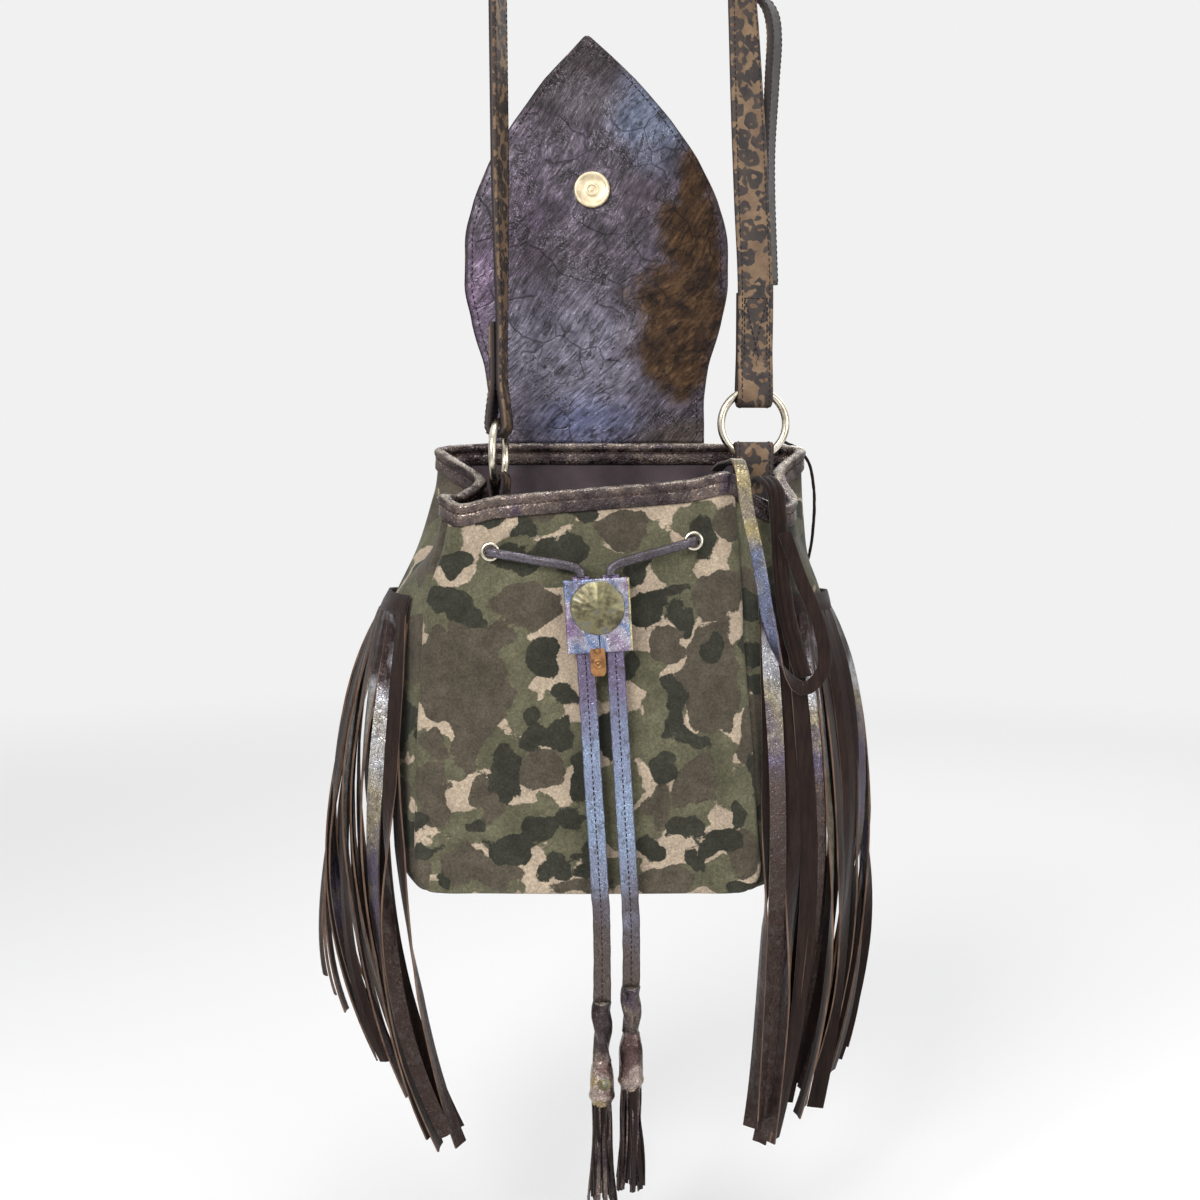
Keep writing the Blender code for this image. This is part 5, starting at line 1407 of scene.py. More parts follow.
def straps():
    apart = (STRAP_T + SEAM) / 2
    up = Vector((0, 0, 1))
    lw, ln = across(LEFT_TURN)
    foot = Vector((LEFT_RING.x, LEFT_RING.y, 0))
    pts = bight(LEFT_RING.z + RING_R, 1, STRAP_T, STRAP_W, DOUBLED, apart)
    pts[-1] = (apart, pts[-1][1] + 5 * MM)
    path = [(foot + ln * a + up * h, lw) for a, h in pts]
    centre = STRAP_T / 2 - ARCH_R
    start = path[-1][0]
    for s, turn in ((0.12, math.radians(76)), (0.3, LEFT_FACE_TURN), (0.7, LEFT_FACE_TURN)):
        p = start.lerp(Vector((-ARCH_R, 0, centre)), s)
        path.append((p, across(turn)[0]))
    for k in range(13):
        a = math.pi * (1 - k / 12)
        turn = math.pi / 2 - max(0, k / 6 - 1) * (math.pi / 2 - BUCKLE_TURN)
        p = Vector((ARCH_R * math.cos(a), 0, centre + ARCH_R * math.sin(a)))
        path.append((p, across(turn)[0]))
    bw, bn = across(BUCKLE_TURN)
    top_bar = BUCKLE_Z + BUCKLE_H / 2
    hold = Vector((ARCH_R, 0, 0))
    near = bight(top_bar, 1, STRAP_T, STRAP_W, 26 * MM, apart, BUCKLE_WIRE_R, 0)
    near = [(-a, h) for a, h in near[1:]]
    path += [(hold + bn * a + up * h, bw) for a, h in near]
    strap("strap_long_leather", path, STRAP_W - 2 * MM, STRAP_T, "strap_long")

    rw, rn = across(RIGHT_TURN)
    foot = Vector((RIGHT_RING.x, RIGHT_RING.y, 0))
    pts = bight(RIGHT_RING.z + RING_R, 1, STRAP_T, STRAP_W, DOUBLED, apart)
    pts[-1] = (apart, pts[-1][1] + 5 * MM)
    path = [(foot + rn * a + up * h, rw) for a, h in pts]
    start = path[-1][0]
    low_bar = BUCKLE_Z - BUCKLE_H / 2
    over = bight(low_bar, -1, STRAP_T, STRAP_W, 30 * MM, apart, BUCKLE_WIRE_R, 0)
    over = [(-a, h) for a, h in over]
    meet = hold + bn * over[2][0] + up * over[2][1]
    for s in (0.25, 0.5, 0.75, 0.9):
        turn = RIGHT_TURN + (BUCKLE_TURN - RIGHT_TURN) * s**1.6
        path.append((start.lerp(meet, s), across(turn)[0]))
    path += [(hold + bn * a + up * h, bw) for a, h in over[3:10]]
    for x, y, z, turn in TAIL_STATIONS:
        path.append((hold + Vector((x * MM, y * MM, z * MM)), across(math.radians(turn))[0]))
    strap("strap_short_leather", path, STRAP_W - 2 * MM, STRAP_T, "strap_short")
    # the box and the cross sewn through the doubled end
    z0, z1 = -426 * MM, -367 * MM
    face = apart + STRAP_T / 2 + 0.03 * MM

    def at(a, z):
        return foot + rn * face + rw * a + up * z

    a = STRAP_W / 2 - 5.2 * MM
    box = [at(-a, z0), at(a, z0), at(a, z1), at(-a, z1), at(-a, z0)]
    lines = []
    for c in (box, [at(-a, z0), at(a, z1)], [at(a, z0), at(-a, z1)]):
        lines += [[(p, rn), (q, rn)] for p, q in zip(c, c[1:])]
    piece("strap_box_stitches", stitch_mesh("box", lines, (0.0025, 0.0004), 0.0011), "thread", "bag")

    loop = []
    r = 4 * MM
    for k, (sw, sh) in enumerate(((-1, 1), (1, 1), (1, -1), (-1, -1))):
        for j in range(9):
            ang = math.radians(180 - 90 * k - 90 * j / 8)
            c = hold + up * BUCKLE_Z + bw * sw * (BUCKLE_W / 2 - r) + up * sh * (BUCKLE_H / 2 - r)
            loop.append((c + (bw * math.cos(ang) + up * math.sin(ang)) * r, bn))
    sec = [(BUCKLE_WIRE_R * math.cos(math.tau * k / 14), BUCKLE_WIRE_R * math.sin(math.tau * k / 14)) for k in range(14)]
    piece("buckle_wire", sweep("buckle", loop, sec, closed=True), "nickel", "bag", "strap_buckle")
    z = LEFT_RING.z + RING_R - dip(STRAP_W) + DOUBLED - 7 * MM
    at_ = Vector((LEFT_RING.x, 0, z)) - ln * (apart + STRAP_T / 2 + GAP)
    stud = [(0, 1.7), (0.9, 1.65), (1.8, 1.35), (2.6, 0.8), (3.1, 0.3), (3.0, 0), (0, 0)]
    piece("rivet_head", revolve("rivet", [(a * MM, b * MM) for a, b in stud], 40, facing(at_, -ln)), "dark", "bag", "strap_rivet")

    piece("ring_left_wire", torus("ring_left", LEFT_RING, LEFT_TURN, RING_R, WIRE_R), "nickel", "ring_left", "ring_left")
    piece("ring_right_wire", torus("ring_right", RIGHT_RING, RIGHT_TURN, RING_R, WIRE_R), "nickel", "ring_right", "ring_right")
    for side, centre_, turn in (("left", LEFT_RING, LEFT_TURN), ("right", RIGHT_RING, RIGHT_TURN)):
        w, n = across(turn)
        part = (TAB_T + SEAM) / 2
        pts = bight(centre_.z - RING_R, -1, TAB_T, TAB_W, TAB_DROP, part)
        path = [(Vector((centre_.x, centre_.y, 0)) + n * a + Vector((0, 0, h)), w) for a, h in pts]
        strap(f"tab_{side}_leather", path, TAB_W, TAB_T, f"ring_tab_{side}")


straps()


# ---- drawstring, slider, tails and tassels --------------------------------------------
def leather_cord(name, pts, size, groove=0.3, mat="bronze", body="bag", nodes=(), facing_=Vector((0, 0, 1))):
    """A strip folded round on itself, its two edges meeting in a seam."""
    path = []
    for i, p in enumerate(pts):
        t = (pts[min(i + 1, len(pts) - 1)] - pts[max(i - 1, 0)]).normalized()
        w = facing_ - t * facing_.dot(t)
        path.append((p, w.normalized() if w.length > 0.2 else (path[-1][1] if path else Vector((1, 0, 0)))))
    sec = []
    for k in range(18):
        a = math.tau * k / 18
        r = 1 - groove * math.exp(-((math.degrees(abs(math.atan2(math.sin(a + 1.9), math.cos(a + 1.9)))) / 14) ** 2))
        sec.append((size[0] / 2 * math.cos(a) * r, size[1] / 2 * math.sin(a) * r))

    def wob(i, j, q):
        return noise.noise(q * 300) * 0.00025

    return piece(name, sweep(name, path, sec, wobble=wob), mat, body, *nodes)


def drawstring():
    inside = -(LINING_IN + LINING + GAP + STRING_D / 2 + 2.6 * MM)
    outside = BACK_SWELL + STRING_D / 2 + 2 * MM
    (_, fl, flq), (_, fr, frq) = HOLES["front"]
    (_, bl, blq), (_, br, brq) = HOLES["back"]

    def wall_at(t, q, out):
        p = wall_face(t, q)
        return p + wall_normal(t, q) * (out + folds(p, q) * 0.7)

    def through(t, q, way):
        pts = [wall_at(t, q, d) for d in (inside, inside * 0.45, 1.5 * MM, 7 * MM)]
        return pts if way > 0 else pts[::-1]

    def round_inside(t0, q0, t1, q1):
        z0, z1 = wall_face(t0, q0).z, wall_face(t1, q1).z
        pts = []
        for k in range(1, 9):
            s = k / 9
            t = t0 + (t1 - t0) * s
            z = z0 + (z1 - z0) * s - 6 * MM * math.sin(math.pi * s)
            pts.append(wall_at(t, q_of(t, z), inside))
        return pts

    lean = Vector((math.sin(TAIL_LEAN), 0, -math.cos(TAIL_LEAN)))
    level = Vector((math.cos(TAIL_LEAN), 0, math.sin(TAIL_LEAN)))
    top = SLIDER_AT - lean * (SLIDER_H / 2 + 2 * MM + GAP)
    ends = []
    for side in (-1, 1):
        end = top + level * (side * TAIL_APART / 2) - lean * 0.35 * MM
        up = (-1 * MM, 2.4 * MM, 5 * MM)
        out = (0, 0.3 * MM, 3.6 * MM)
        ends.append([end - lean * u + level * side * o for u, o in zip(up, out)])
    left = through(fl, flq, -1)
    path = ends[0] + [ends[0][-1].lerp(left[0], 0.5) + Vector((0, 1 * MM, 0))] + left
    path += round_inside(fl, flq, bl - COUNT, blq) + through(bl, blq, 1)
    a, b = wall_at(bl, blq, outside), wall_at(br, brq, outside)
    path += [a.lerp(b, s) for s in (0.12, 0.35, 0.65, 0.88)]
    path += through(br, brq, -1) + round_inside(br, brq, fr, frq)
    right = through(fr, frq, 1)
    path += right + [ends[1][-1].lerp(right[-1], 0.5) + Vector((0, 1 * MM, 0))] + ends[1][::-1]
    leather_cord("drawstring_leather", smooth_path(path, 420), (5.9 * MM, 4.6 * MM), 0.35, "string", "bag", ("drawstring",))
    return lean, level


def tail_pieces(lean, level):
    ends = []
    for k, side_name in enumerate(("left", "right")):
        side = 2 * k - 1
        top = SLIDER_AT - lean * (SLIDER_H / 2 + 2 * MM) + level * side * TAIL_APART / 2
        low = top + lean * TAIL_STRAIGHT
        end = Vector((TAIL_END_X[k], TAIL_Y, TAIL_END_Z[k]))
        pts = [top, top.lerp(low, 0.5), low]
        pts += [spline([top, low, end, end * 2 - low], 1 + s) for s in (0.35, 0.7, 1)]
        path = dense([(p, level) for p in pts], 0.003)
        sec = []
        w, t = TAIL_W / 2, TAIL_T / 2
        for sign in (1, -1):
            for x, y in ((0.98, 0.3), (0.93, 0.8), (0.8, 1.0), (0.45, 0.96), (0.16, 0.9), (0.0, 0.62), (-0.16, 0.9), (-0.45, 0.96), (-0.8, 1.0), (-0.93, 0.8), (-0.98, 0.3)):
                sec.append((sign * x * w, sign * y * t))

        def wob(i, j, q):
            return noise.noise(q * 170) * 0.00035

        tail = piece(f"tail_{side_name}_leather", sweep("tail", path, sec, wobble=wob), "tail", "bag", f"drawstring_tail_{side_name}")
        front = [(p + Vector((0, -TAIL_T * 0.34, 0)), Vector((0, -1, 0))) for p, _ in path]
        seam = piece(f"tail_{side_name}_stitches", stitch_mesh("tail", [front], (0.0024, 0.0004), 0.0010), "thread", "bag")
        ends.append((tail, path, end, seam))
    return ends


def cap_radius(f, head):
    """Down the height (f from 0 to 1): a neck, then a drop that closes in."""
    neck = CAP_NECK_R * (1.0 + 0.10 * math.sin(f * 11))
    s = min(max((f - head + 0.05) / 0.26, 0), 1)
    r = neck + (CAP_R - neck) * s * s * (3 - 2 * s)
    return r * (1 - max(f - 0.92, 0) * 3.2)


def tassels(tails):
    rng = np.random.default_rng(7)
    for k, (tail, path, end, seam) in enumerate(tails):
        side = ("left", "right")[k]
        top = end.z - GAP
        head = (0.56, 0.44)[k]
        prof = [(0, 0.2 * MM), (CAP_NECK_R * 0.7, 0.2 * MM)]
        prof += [(cap_radius(i / 79, head), -CAP_H * i / 79) for i in range(80)] + [(0, -CAP_H)]

        def wrap(a, r, h):
            """A twisted neck over a folded head with a turned lower lip."""
            f = -h / CAP_H
            crease = noise.noise(Vector((math.cos(a) * 2.2, math.sin(a) * 2.2, h * 90)))
            if f < head:
                return r + 0.0008 * math.sin(3 * a + h * 260) + 0.0006 * crease, h
            lip = math.exp(-(((f - 0.9) / 0.03) ** 2))
            return r + 0.0007 * lip + 0.0007 * crease, h

        at = Matrix.Translation((end.x, end.y, top))
        mesh = revolve("cap", prof, 56, at, wrap)
        for f in mesh.polygons:
            f.material_index = int(f.center.z < top - CAP_H * head)
        cap = piece(f"tassel_cap_{side}_leather", mesh, ["bronze", "cap"], "bag", f"tassel_cap_{side}")
        held = []
        if not k:
            front = facing(Vector((end.x + 1.5 * MM, end.y - CAP_R * 0.96, top - CAP_H * 0.76)), (0, -1, 0))
            pin = [(0, 1.9), (1.2, 1.7), (2.0, 1.0), (2.3, 0.5), (2.5, 0.5), (3.7, 0.6), (4.1, 0.2), (4.1, -0.6), (0, -0.6)]
            held = [piece("tassel_stud_left", revolve("pin", [(a * MM, b * MM) for a, b in pin], 40, front), "brass", "bag")]
        pts, faces, index = [], [], []
        base_z = top - CAP_H + 4 * MM
        for s in range(30):
            a0 = math.tau * s / 30 + rng.uniform(-0.1, 0.1)
            r0 = CAP_R * (0.72 if s % 2 else 0.5)
            a1 = a0 + rng.uniform(-0.4, 0.4)
            r1 = STRANDS_R * rng.uniform(0.45, 0.98)
            length = STRANDS_H * rng.uniform(0.86, 1.0) + 4 * MM
            tw = rng.uniform(0, math.pi)
            rows = 14
            base = len(pts)
            for i in range(rows):
                f = i / (rows - 1)
                e = f ** 1.3
                a = a0 + (a1 - a0) * f
                r = r0 + (r1 - r0) * e + 0.0008 * math.sin(f * 6 + s)
                c = Vector((end.x + r * math.cos(a) * 0.9, end.y + r * math.sin(a) * 0.9, base_z - length * f))
                d = Vector((math.cos(tw + f * 1.5), math.sin(tw + f * 1.5), 0))
                n = Vector((-d.y, d.x, 0))
                for x, y in ((-1, -1), (1, -1), (1, 1), (-1, 1)):
                    pts.append(c + d * x * 1.25 * MM + n * y * 0.45 * MM)
            for i in range(rows - 1):
                for j in range(4):
                    p, q = base + i * 4 + j, base + i * 4 + (j + 1) % 4
                    faces.append((p, q, q + 4, p + 4))
                    index.append(s % 3 == 0)
            faces.append(tuple(base + j for j in range(3, -1, -1)))
            faces.append(tuple(base + (rows - 1) * 4 + j for j in range(4)))
            index += [s % 3 == 0] * 2
        mesh = outwards(mesh_of("strands", pts, faces, index=[int(v) for v in index]))
        strands = piece(f"tassel_strands_{side}_leather", mesh, ["dark", "bronze"], "bag", f"tassel_strands_{side}", smooth=False)
        length = sum((path[i + 1][0] - path[i][0]).length for i in range(len(path) - 1))


def slider_pieces(lean, level):
    nodes = frame["nodes"]
    nodes["drawstring_slider"].data.materials[0] = M["silver"]
    nodes["concho_post"].data.materials[0] = M["brass"]
    nodes["small_tag"].data.materials[0] = M["copper"]
    mat = Matrix.Translation(SLIDER_AT) @ Matrix((level, Vector((0, 1, 0)), -lean)).transposed().to_4x4()
    deep = TAIL_T + 2 * SLIDER_PLAY + 2 * SLIDER_SKIN
    out = facing(mat @ Vector((0, -deep / 2, CONCHO_UP)), (0, -1, 0))
    # the creased front of the sheath, slit below the disc
    us = sorted([-1 + 2 * k / 40 for k in range(41) if k != 20] + [-0.020, -0.012, 0.012, 0.020])
    front_ = []
    for r in range(44):
        v = -1 + 2 * r / 43
        row = []
        for u in us:
            x, z = u * SLIDER_W / 2 * 1.005, v * SLIDER_H / 2 * 1.005
            p = Vector((x * 150, z * 150, 2))
            lift = 0.45 * MM + noise.noise(p) * 0.30 * MM + noise.noise(p * 3.1) * 0.12 * MM
            lift *= min((1 - abs(u)) * 14, (1 - abs(v)) * 14, 1) ** 0.5 if abs(u) < 1 and abs(v) < 1 else 0
            if v < -0.25 and abs(u) < 0.016:
                lift = 0.03 * MM
            row.append(mat @ Vector((x, -deep / 2 - 0.05 * MM - max(lift, 0), z)))
        front_.append(row)
    front_ = np.array(front_)
    piece("slider_front", slab(front_, front_ * np.array((1, 0, 1)) + np.array((0, (mat @ Vector((0, -deep / 2 + 0.1 * MM, 0))).y, 0))), "silver", "slider")
    slit = [mat @ Vector((0.1 * MM, -deep / 2 - 0.12 * MM, z)) for z in np.linspace(-SLIDER_H / 2 * 1.0, -SLIDER_H / 2 * 0.25, 8)]
    piece("slider_slit", sweep("slit", [(p, level) for p in slit], rounded(0.7 * MM, 0.22 * MM, 2, 1)), "dark", "slider")
    # A gold strip down the right edge, where the leather wraps round: a painted highlight.
    painted_highlight_edge = [mat @ Vector((SLIDER_W / 2 - 0.3 * MM, -deep / 2 - 0.22 * MM, z)) for z in np.linspace(-SLIDER_H / 2, SLIDER_H / 2, 30)]
    piece("slider_edge_highlight", sweep("edge", [(p, level) for p in painted_highlight_edge], rounded(1.3 * MM, 0.7 * MM, 3, 2), wobble=lambda i, j, q: noise.noise(q * 400) * 0.00015), "gold", "slider")
    prof = []
    for k in range(27):
        f = k / 26
        prof.append((CONCHO_R * f, GAP + CONCHO_RIM + CONCHO_DOME * (1 - f * f)))
    prof += [(CONCHO_R * 1.004, GAP + CONCHO_RIM * 0.5), (CONCHO_R, GAP), (0, GAP)]
    dents = np.random.default_rng(3)
    beats = [(dents.uniform(0, math.tau), dents.uniform(0.28, 0.98)) for _ in range(46)]

    def hammer(a, r, h):
        if h <= GAP * 1.01:
            return r, h
        x, y = r * math.cos(a), r * math.sin(a)
        d = 0
        for b, f in beats:
            px, py = CONCHO_R * f * math.cos(b), CONCHO_R * f * math.sin(b)
            rad = ((px - x) * math.cos(b) + (py - y) * math.sin(b)) / 0.0042
            tan_ = (-(px - x) * math.sin(b) + (py - y) * math.cos(b)) / 0.0019
            d = min(d, -0.00034 * math.exp(-(rad * rad + tan_ * tan_)))
        return r, h + d

    piece("concho_face", revolve("concho", prof, 120, out, hammer), "brass", "slider", "concho")
    hang = mat @ Vector((-1.6 * MM, -deep / 2 - GAP - TAG_T / 2, 0))
    top = -SLIDER_H / 2 + TAG_OVERLAP
    rivet = hang - lean * (top - 1.4 * MM) + Vector((0, -TAG_T / 2 - GAP, 0))
    stud = [(0, 0.9), (0.8, 0.85), (1.4, 0.55), (1.7, 0), (0, 0)]
    piece("tag_stud", revolve("stud", [(a * MM, b * MM) for a, b in stud], 32, facing(rivet, (0, -1, 0))), "copper", "slider", "tag_rivet")
    mark = hang - lean * (top - 9.5 * MM) + Vector((0, -TAG_T / 2, 0))
    ring_ = [(0, 0.30), (0.55, 0.28), (0.7, 0.02), (1.9, 0.02), (2.1, 0.35), (2.5, 0.42), (2.9, 0.35), (3.1, 0.0)]
    piece("tag_ring", revolve("tag_ring", [(a * MM, b * MM) for a, b in ring_], 40, facing(mark, (0, -1, 0))), "copper", "slider")


lean_, level_ = drawstring()
tassels(tail_pieces(lean_, level_))
slider_pieces(lean_, level_)


# ---- fringe --------------------------------------------------------------------------
def fringe(name, side, edges, layer, front, back, node):
    rng = np.random.default_rng(11 + layer + (5 if side > 0 else 0))
    clear = 0.85 * MM + layer * (STRIP_T + 2.5 * GAP)
    pitch = (edges[1] - edges[0]) / STRIPS
    top = FRINGE_TOP_Z + layer * 5 * MM
    away = layer * 9 * MM
    # the sewn band
    fine = 14
    band_o, band_i = [], []
    for z in (top, top - HEADER_H * 0.5, top - HEADER_H):
        ro, ri = [], []
        for i in range(STRIPS * fine + 1):
            t = edges[0] + pitch * (i / fine)
            q = q_of(t, z)
            p, n = wall_face(t, q), wall_normal(t, q)
            o = clear + folds(p, q) * 0.6
            ro.append(p + n * (o + STRIP_T))
            ri.append(p + n * o)
        band_o.append(ro)
        band_i.append(ri)
    piece(f"{name}_band", slab(np.array(band_o), np.array(band_i)), "dark", "bag")
    line = [(Vector(p) + Vector((0, 0, -3.0 * MM)), (Vector(p) - Vector(q)).normalized()) for p, q in zip(band_o[0], band_i[0])]
    piece(f"{name}_stitches", stitch_mesh("fr", [line], (0.0026, 0.0004), 0.0012), "hem", "bag")
    guides, widths = [], []
    for i in range(STRIPS):
        f = i / (STRIPS - 1)
        pts = []
        for k in (0.06, 0.94):
            t = edges[0] + pitch * (i + k)
            q = q_of(t, top - HEADER_H)
            pts.append((wall(t, q, clear), wall_normal(t, q)))
        left, right = pts[0][0], pts[1][0]
        root = (left + right) / 2 + Vector((0, 0, 1.0 * MM))
        n = Vector((pts[0][1].x, pts[0][1].y, 0)).normalized()
        far = (n + Vector((side, -0.6, 0))).normalized()
        g = [[(a + (b - a) * f) * MM for a, b in zip(p, q)] for p, q in zip(front, back)]
        drop = (math.sin(i * 2.4 + layer) * 11 + math.sin(i * 5.1) * 6) * MM
        first = root + n * (g[0][0] + away * 0.6)
        second = root + far * (g[1][0] + away)
        y = root.y - away * 0.6 - (1 - f) * 19 * MM
        tip = Vector((g[2][0] + side * away, y, g[2][1] + drop))
        first.z, second.z = g[0][1], g[1][1]
        guides.append((root, first, second, tip))
        widths.append((right - left).length)
    rows = 44
    pts, faces, index, down = [], [], [], []
    lean_of = rng.uniform(-0.35, 0.35, STRIPS)
    ph = rng.uniform(0, 6.28, STRIPS)
    flips = {int(k) for k in SHINY[name]}
    centre = []
    for r in range(rows):
        s = r / (rows - 1)
        row = []
        for i, g in enumerate(guides):
            sway = 0.0042 * math.sin(ph[i] + s * 5.5) * s ** 0.8
            deep = 0.0030 * math.sin(ph[i] * 2 + s * 6) * s + 0.0016 * ((i % 2) - 0.5) * min(s * 5, 1)
            row.append(bezier(g, s) + Vector((sway, deep, 0.0)))
        centre.append(row)
    for i in range(STRIPS):
        base = len(pts)
        turn_at, turn_by = rng.uniform(0.35, 0.75), rng.choice([0, 0, 1.1, -1.3])
        reach = 1.05 + 0.45 * math.sin(i * 3.7 + layer * 2)
        for r in range(rows):
            s = r / (rows - 1)
            row = centre[r]
            a, b = row[max(i - 1, 0)], row[min(i + 1, STRIPS - 1)]
            w = Vector((b.x - a.x, b.y - a.y, 0)).normalized()
            down_ = (centre[min(r + 1, rows - 1)][i] - centre[max(r - 1, 0)][i]).normalized()
            ang = lean_of[i] * min(s * 2.5, 1) + 0.4 * math.sin(ph[i] + s * 4.5) * min(s * 3, 1)
            ang += turn_by * min(max((s - turn_at) / 0.25, 0), 1)
            n = w.cross(down_).normalized()
            if n.x * side < 0:
                n = -n
            w2 = (w * math.cos(ang) + n * math.sin(ang)).normalized()
            n2 = (n * math.cos(ang) - w * math.sin(ang)).normalized()
            wide = widths[i] * (0.5 + 0.26 * min(s * 6, 1)) * (1 - 0.08 * s + 0.05 * math.sin(ph[i] * 3 + s * 9))
            thick = 1.2 * MM
            curl = 0.0007 * math.sin(ph[i] * 3 + s * 3)
            p = row[i]
            for x, o in ((-1, 0), (0, curl), (1, 0), (1, thick), (0, thick + curl), (-1, thick)):
                pts.append(p + w2 * wide * x + n2 * o)
                down.append(s * reach)
        for r in range(rows - 1):
            p = base + r * 6
            for j, m in ((0, 1), (1, 1), (2, 2), (3, 0), (4, 0), (5, 2)):
                k = (j + 1) % 6
                faces.append((p + j, p + k, p + 6 + k, p + 6 + j))
                index.append(m if (m == 2 or i not in flips) else 1 - m)
        faces.append(tuple(base + j for j in range(5, -1, -1)))
        faces.append(tuple(base + (rows - 1) * 6 + j for j in range(6)))
        index += [2, 2]
    mesh = outwards(mesh_of(name, pts, faces, {"down": down}, index))
    piece(name, mesh, ["dark", "strip", "cut"], "bag", node, smooth=False)


# strips that show their metallic face, counted from the front
SHINY = {
    "fringe_left_inner_strips": (2,),
    "fringe_left_outer_strips": (1, 2, 7),
    "fringe_right_inner_strips": (1, 4),
    "fringe_right_outer_strips": (0, 3, 4, 8),
}
for layer_, which in enumerate(("inner", "outer")):
    fringe(f"fringe_left_{which}_strips", -1, (18.75, 15.1), layer_, *LEFT_FRINGE, f"fringe_left_{which}")
    fringe(f"fringe_right_{which}_strips", 1, (5.2, 8.9), layer_, *RIGHT_FRINGE, f"fringe_right_{which}")


# ---- laces ------------------------------------------------------------------------------
def total(pts):
    return sum((b - a).length for a, b in zip(pts, pts[1:]))


def laces():
    pts = smooth_path([Vector(p) * MM for p in BUNDLE], 90)
    flat = Vector((1, -0.3, 0))
    sec = []
    for sign in (1, -1):
        for k in range(13):
            x = 1 - k / 6
            lobe = abs(math.sin(math.pi * 1.5 * (x + 1))) ** 0.5
            sec.append((sign * x * BUNDLE_W / 2, sign * BUNDLE_T / 2 * (0.25 + 0.75 * lobe) * (1 if abs(x) < 0.99 else 0.2)))

    def wob(i, j, q):
        return noise.noise(q * 150) * 0.0005

    obj = piece("lace_suede_strands", sweep("bundle", [(p, flat) for p in pts], sec, wobble=wob), "dark", "bag", "lace_suede")
    coarse = smooth_path([Vector(p) * MM for p in LACE], 36)
    path = []
    for i, p in enumerate(coarse):
        s = i / 35
        a, b = coarse[max(i - 1, 0)], coarse[min(i + 1, 35)]
        along = (b - a).normalized()
        w = along.cross(Vector((0, -1, 0.15)))
        if s < 0.3:
            w = along * along.x - Vector((1, 0, 0))
        w = w.normalized()
        turned = math.pi * min(max((s - 0.52) / 0.16, 0), 1)
        w = w * math.cos(turned) + along.cross(w) * math.sin(turned)
        path.append((p, w.normalized()))
    fine = []
    for (p, w), (q, v) in zip(path, path[1:]):
        if w.dot(v) < -0.2:
            v = -v
        for k in range(6):
            fine.append((p.lerp(q, k / 6), w.lerp(v, k / 6).normalized()))
    fine.append(path[-1])
    mesh = sweep("lace", fine, rounded(LACE_W, LACE_T, 3, 5), wobble=lambda i, j, q: noise.noise(q * 160) * 0.0003)
    halves = mesh.attributes["side"].data
    widths = mesh.attributes["across"].data
    for f in mesh.polygons:
        inner = sum(halves[v].value for v in f.vertices) / len(f.vertices)
        edge = sum(abs(widths[v].value) for v in f.vertices) / len(f.vertices) > LACE_W * 0.46
        f.material_index = 2 if edge else (0 if inner > 0.5 else 1)
    obj = piece("lace_metallic_strip", mesh, ["lace", "dark", "cut"], "bag", "lace_metallic")
    pts = smooth_path([Vector(p) * MM for p in REAR], 80)
    obj = leather_cord("lace_rear_thong", pts, (THONG_D, THONG_D * 0.8), 0.1, "dark", "bag", ("lace_rear",), Vector((0, 1, 0)))


laces()


# ---- light, floor and camera -----------------------------------------------------
FLOOR_Z = -1.02
PAPER = 0.88  # brightness of the plain background


def stage():
    """A wide floor that fades into the background, so no view is blocked."""
    bm = bmesh.new()
    bmesh.ops.create_circle(bm, cap_ends=True, segments=96, radius=40.0)
    mesh = bpy.data.meshes.new("floor")
    bm.to_mesh(mesh)
    bm.free()
    obj = bpy.data.objects.new("floor", mesh)
    obj.location.z = FLOOR_Z
    bpy.context.scene.collection.objects.link(obj)
    m = Nodes("floor_paint", (0.80, 0.79, 0.77), 0.9, 0, 0.2)
    away = m.node("ShaderNodeVectorMath", i0=m.coords)
    away.operation = "LENGTH"
    far = m.math("MULTIPLY", away.outputs["Value"], 0.3)
    fade = m.ramp(far, (0.12, 0.0), (0.9, 1.0), kind="EASE")
    seen = m.node("ShaderNodeLightPath").outputs["Is Camera Ray"]
    near = m.math("SUBTRACT", 1.0, fade)
    m.set("Base Color", m.mix(fade, (0.92, 0.91, 0.90), (0, 0, 0)))
    m.set("Specular IOR Level", m.math("MULTIPLY", near, 0.2))
    m.set("Emission Color", (1, 1, 1, 1))
    glow = m.math("ADD", 0.42, m.math("MULTIPLY", seen, PAPER - 0.42))
    m.set("Emission Strength", m.math("MULTIPLY", fade, glow))
    obj.data.materials.append(m.mat)


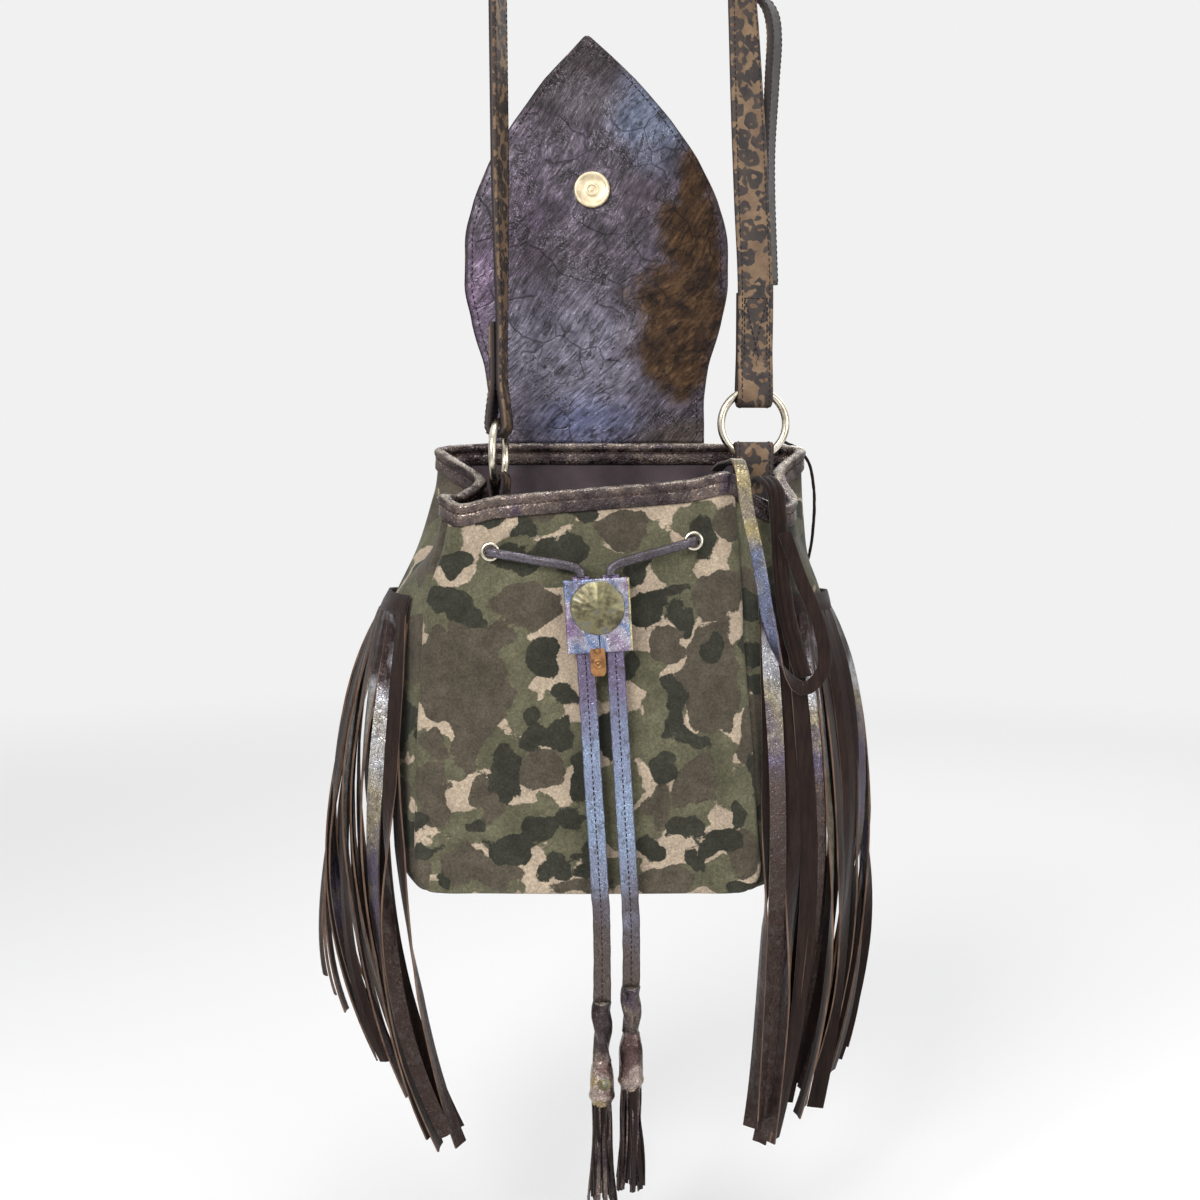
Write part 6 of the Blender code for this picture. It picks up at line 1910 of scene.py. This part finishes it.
def studio():
    """Even light from all sides; the camera and clear metal see plain paper."""
    world = bpy.data.worlds.new("studio")
    bpy.context.scene.world = world
    world.use_nodes = True
    tree = world.node_tree
    plain = tree.nodes["Background"]
    plain.inputs["Color"].default_value = (0.80, 0.82, 0.86, 1)
    plain.inputs["Strength"].default_value = 0.5
    paper = tree.nodes.new("ShaderNodeBackground")
    paper.inputs["Color"].default_value = (PAPER, PAPER, PAPER, 1)
    path = tree.nodes.new("ShaderNodeLightPath")
    either = path.outputs["Is Camera Ray"]
    for key in ("Is Glossy Ray", "Is Transmission Ray"):
        both = tree.nodes.new("ShaderNodeMath")
        both.operation = "MAXIMUM"
        tree.links.new(either, both.inputs[0])
        tree.links.new(path.outputs[key], both.inputs[1])
        either = both.outputs[0]
    pick = tree.nodes.new("ShaderNodeMixShader")
    tree.links.new(either, pick.inputs[0])
    tree.links.new(plain.outputs[0], pick.inputs[1])
    tree.links.new(paper.outputs[0], pick.inputs[2])
    tree.links.new(pick.outputs[0], tree.nodes["World Output"].inputs["Surface"])


def area(name, at, aim, size, power, colour=(1, 1, 1)):
    lamp = bpy.data.lights.new(name, "AREA")
    lamp.shape, lamp.size, lamp.size_y = "RECTANGLE", size[0], size[1]
    lamp.energy, lamp.color = power, colour
    obj = bpy.data.objects.new(name, lamp)
    bpy.context.scene.collection.objects.link(obj)
    obj.location = at
    obj.rotation_euler = (Vector(aim) - Vector(at)).to_track_quat("-Z", "Y").to_euler()


stage()
area("key", (-1.0, -1.9, 0.55), (0, 0, -0.5), (1.0, 1.0), 42)
area("fill", (1.7, -1.6, -0.2), (0, 0, -0.55), (1.4, 1.4), 16)
area("top", (0.2, -0.3, 1.3), (0, 0, -0.5), (1.2, 1.0), 16)
area("back", (0.7, 1.8, 0.5), (0, 0, -0.5), (1.4, 1.4), 14)
studio()
bpy.context.scene.view_settings.view_transform = "Standard"

cam = bpy.data.cameras.new("camera")
cam.sensor_width, cam.lens = 36, 46.15
eye = bpy.data.objects.new("camera", cam)
bpy.context.scene.collection.objects.link(eye)
eye.location = (-0.0104, -math.cos(math.radians(5)), -0.560 + math.sin(math.radians(5)))
eye.rotation_euler = (math.radians(85), 0, 0)
bpy.context.scene.camera = eye
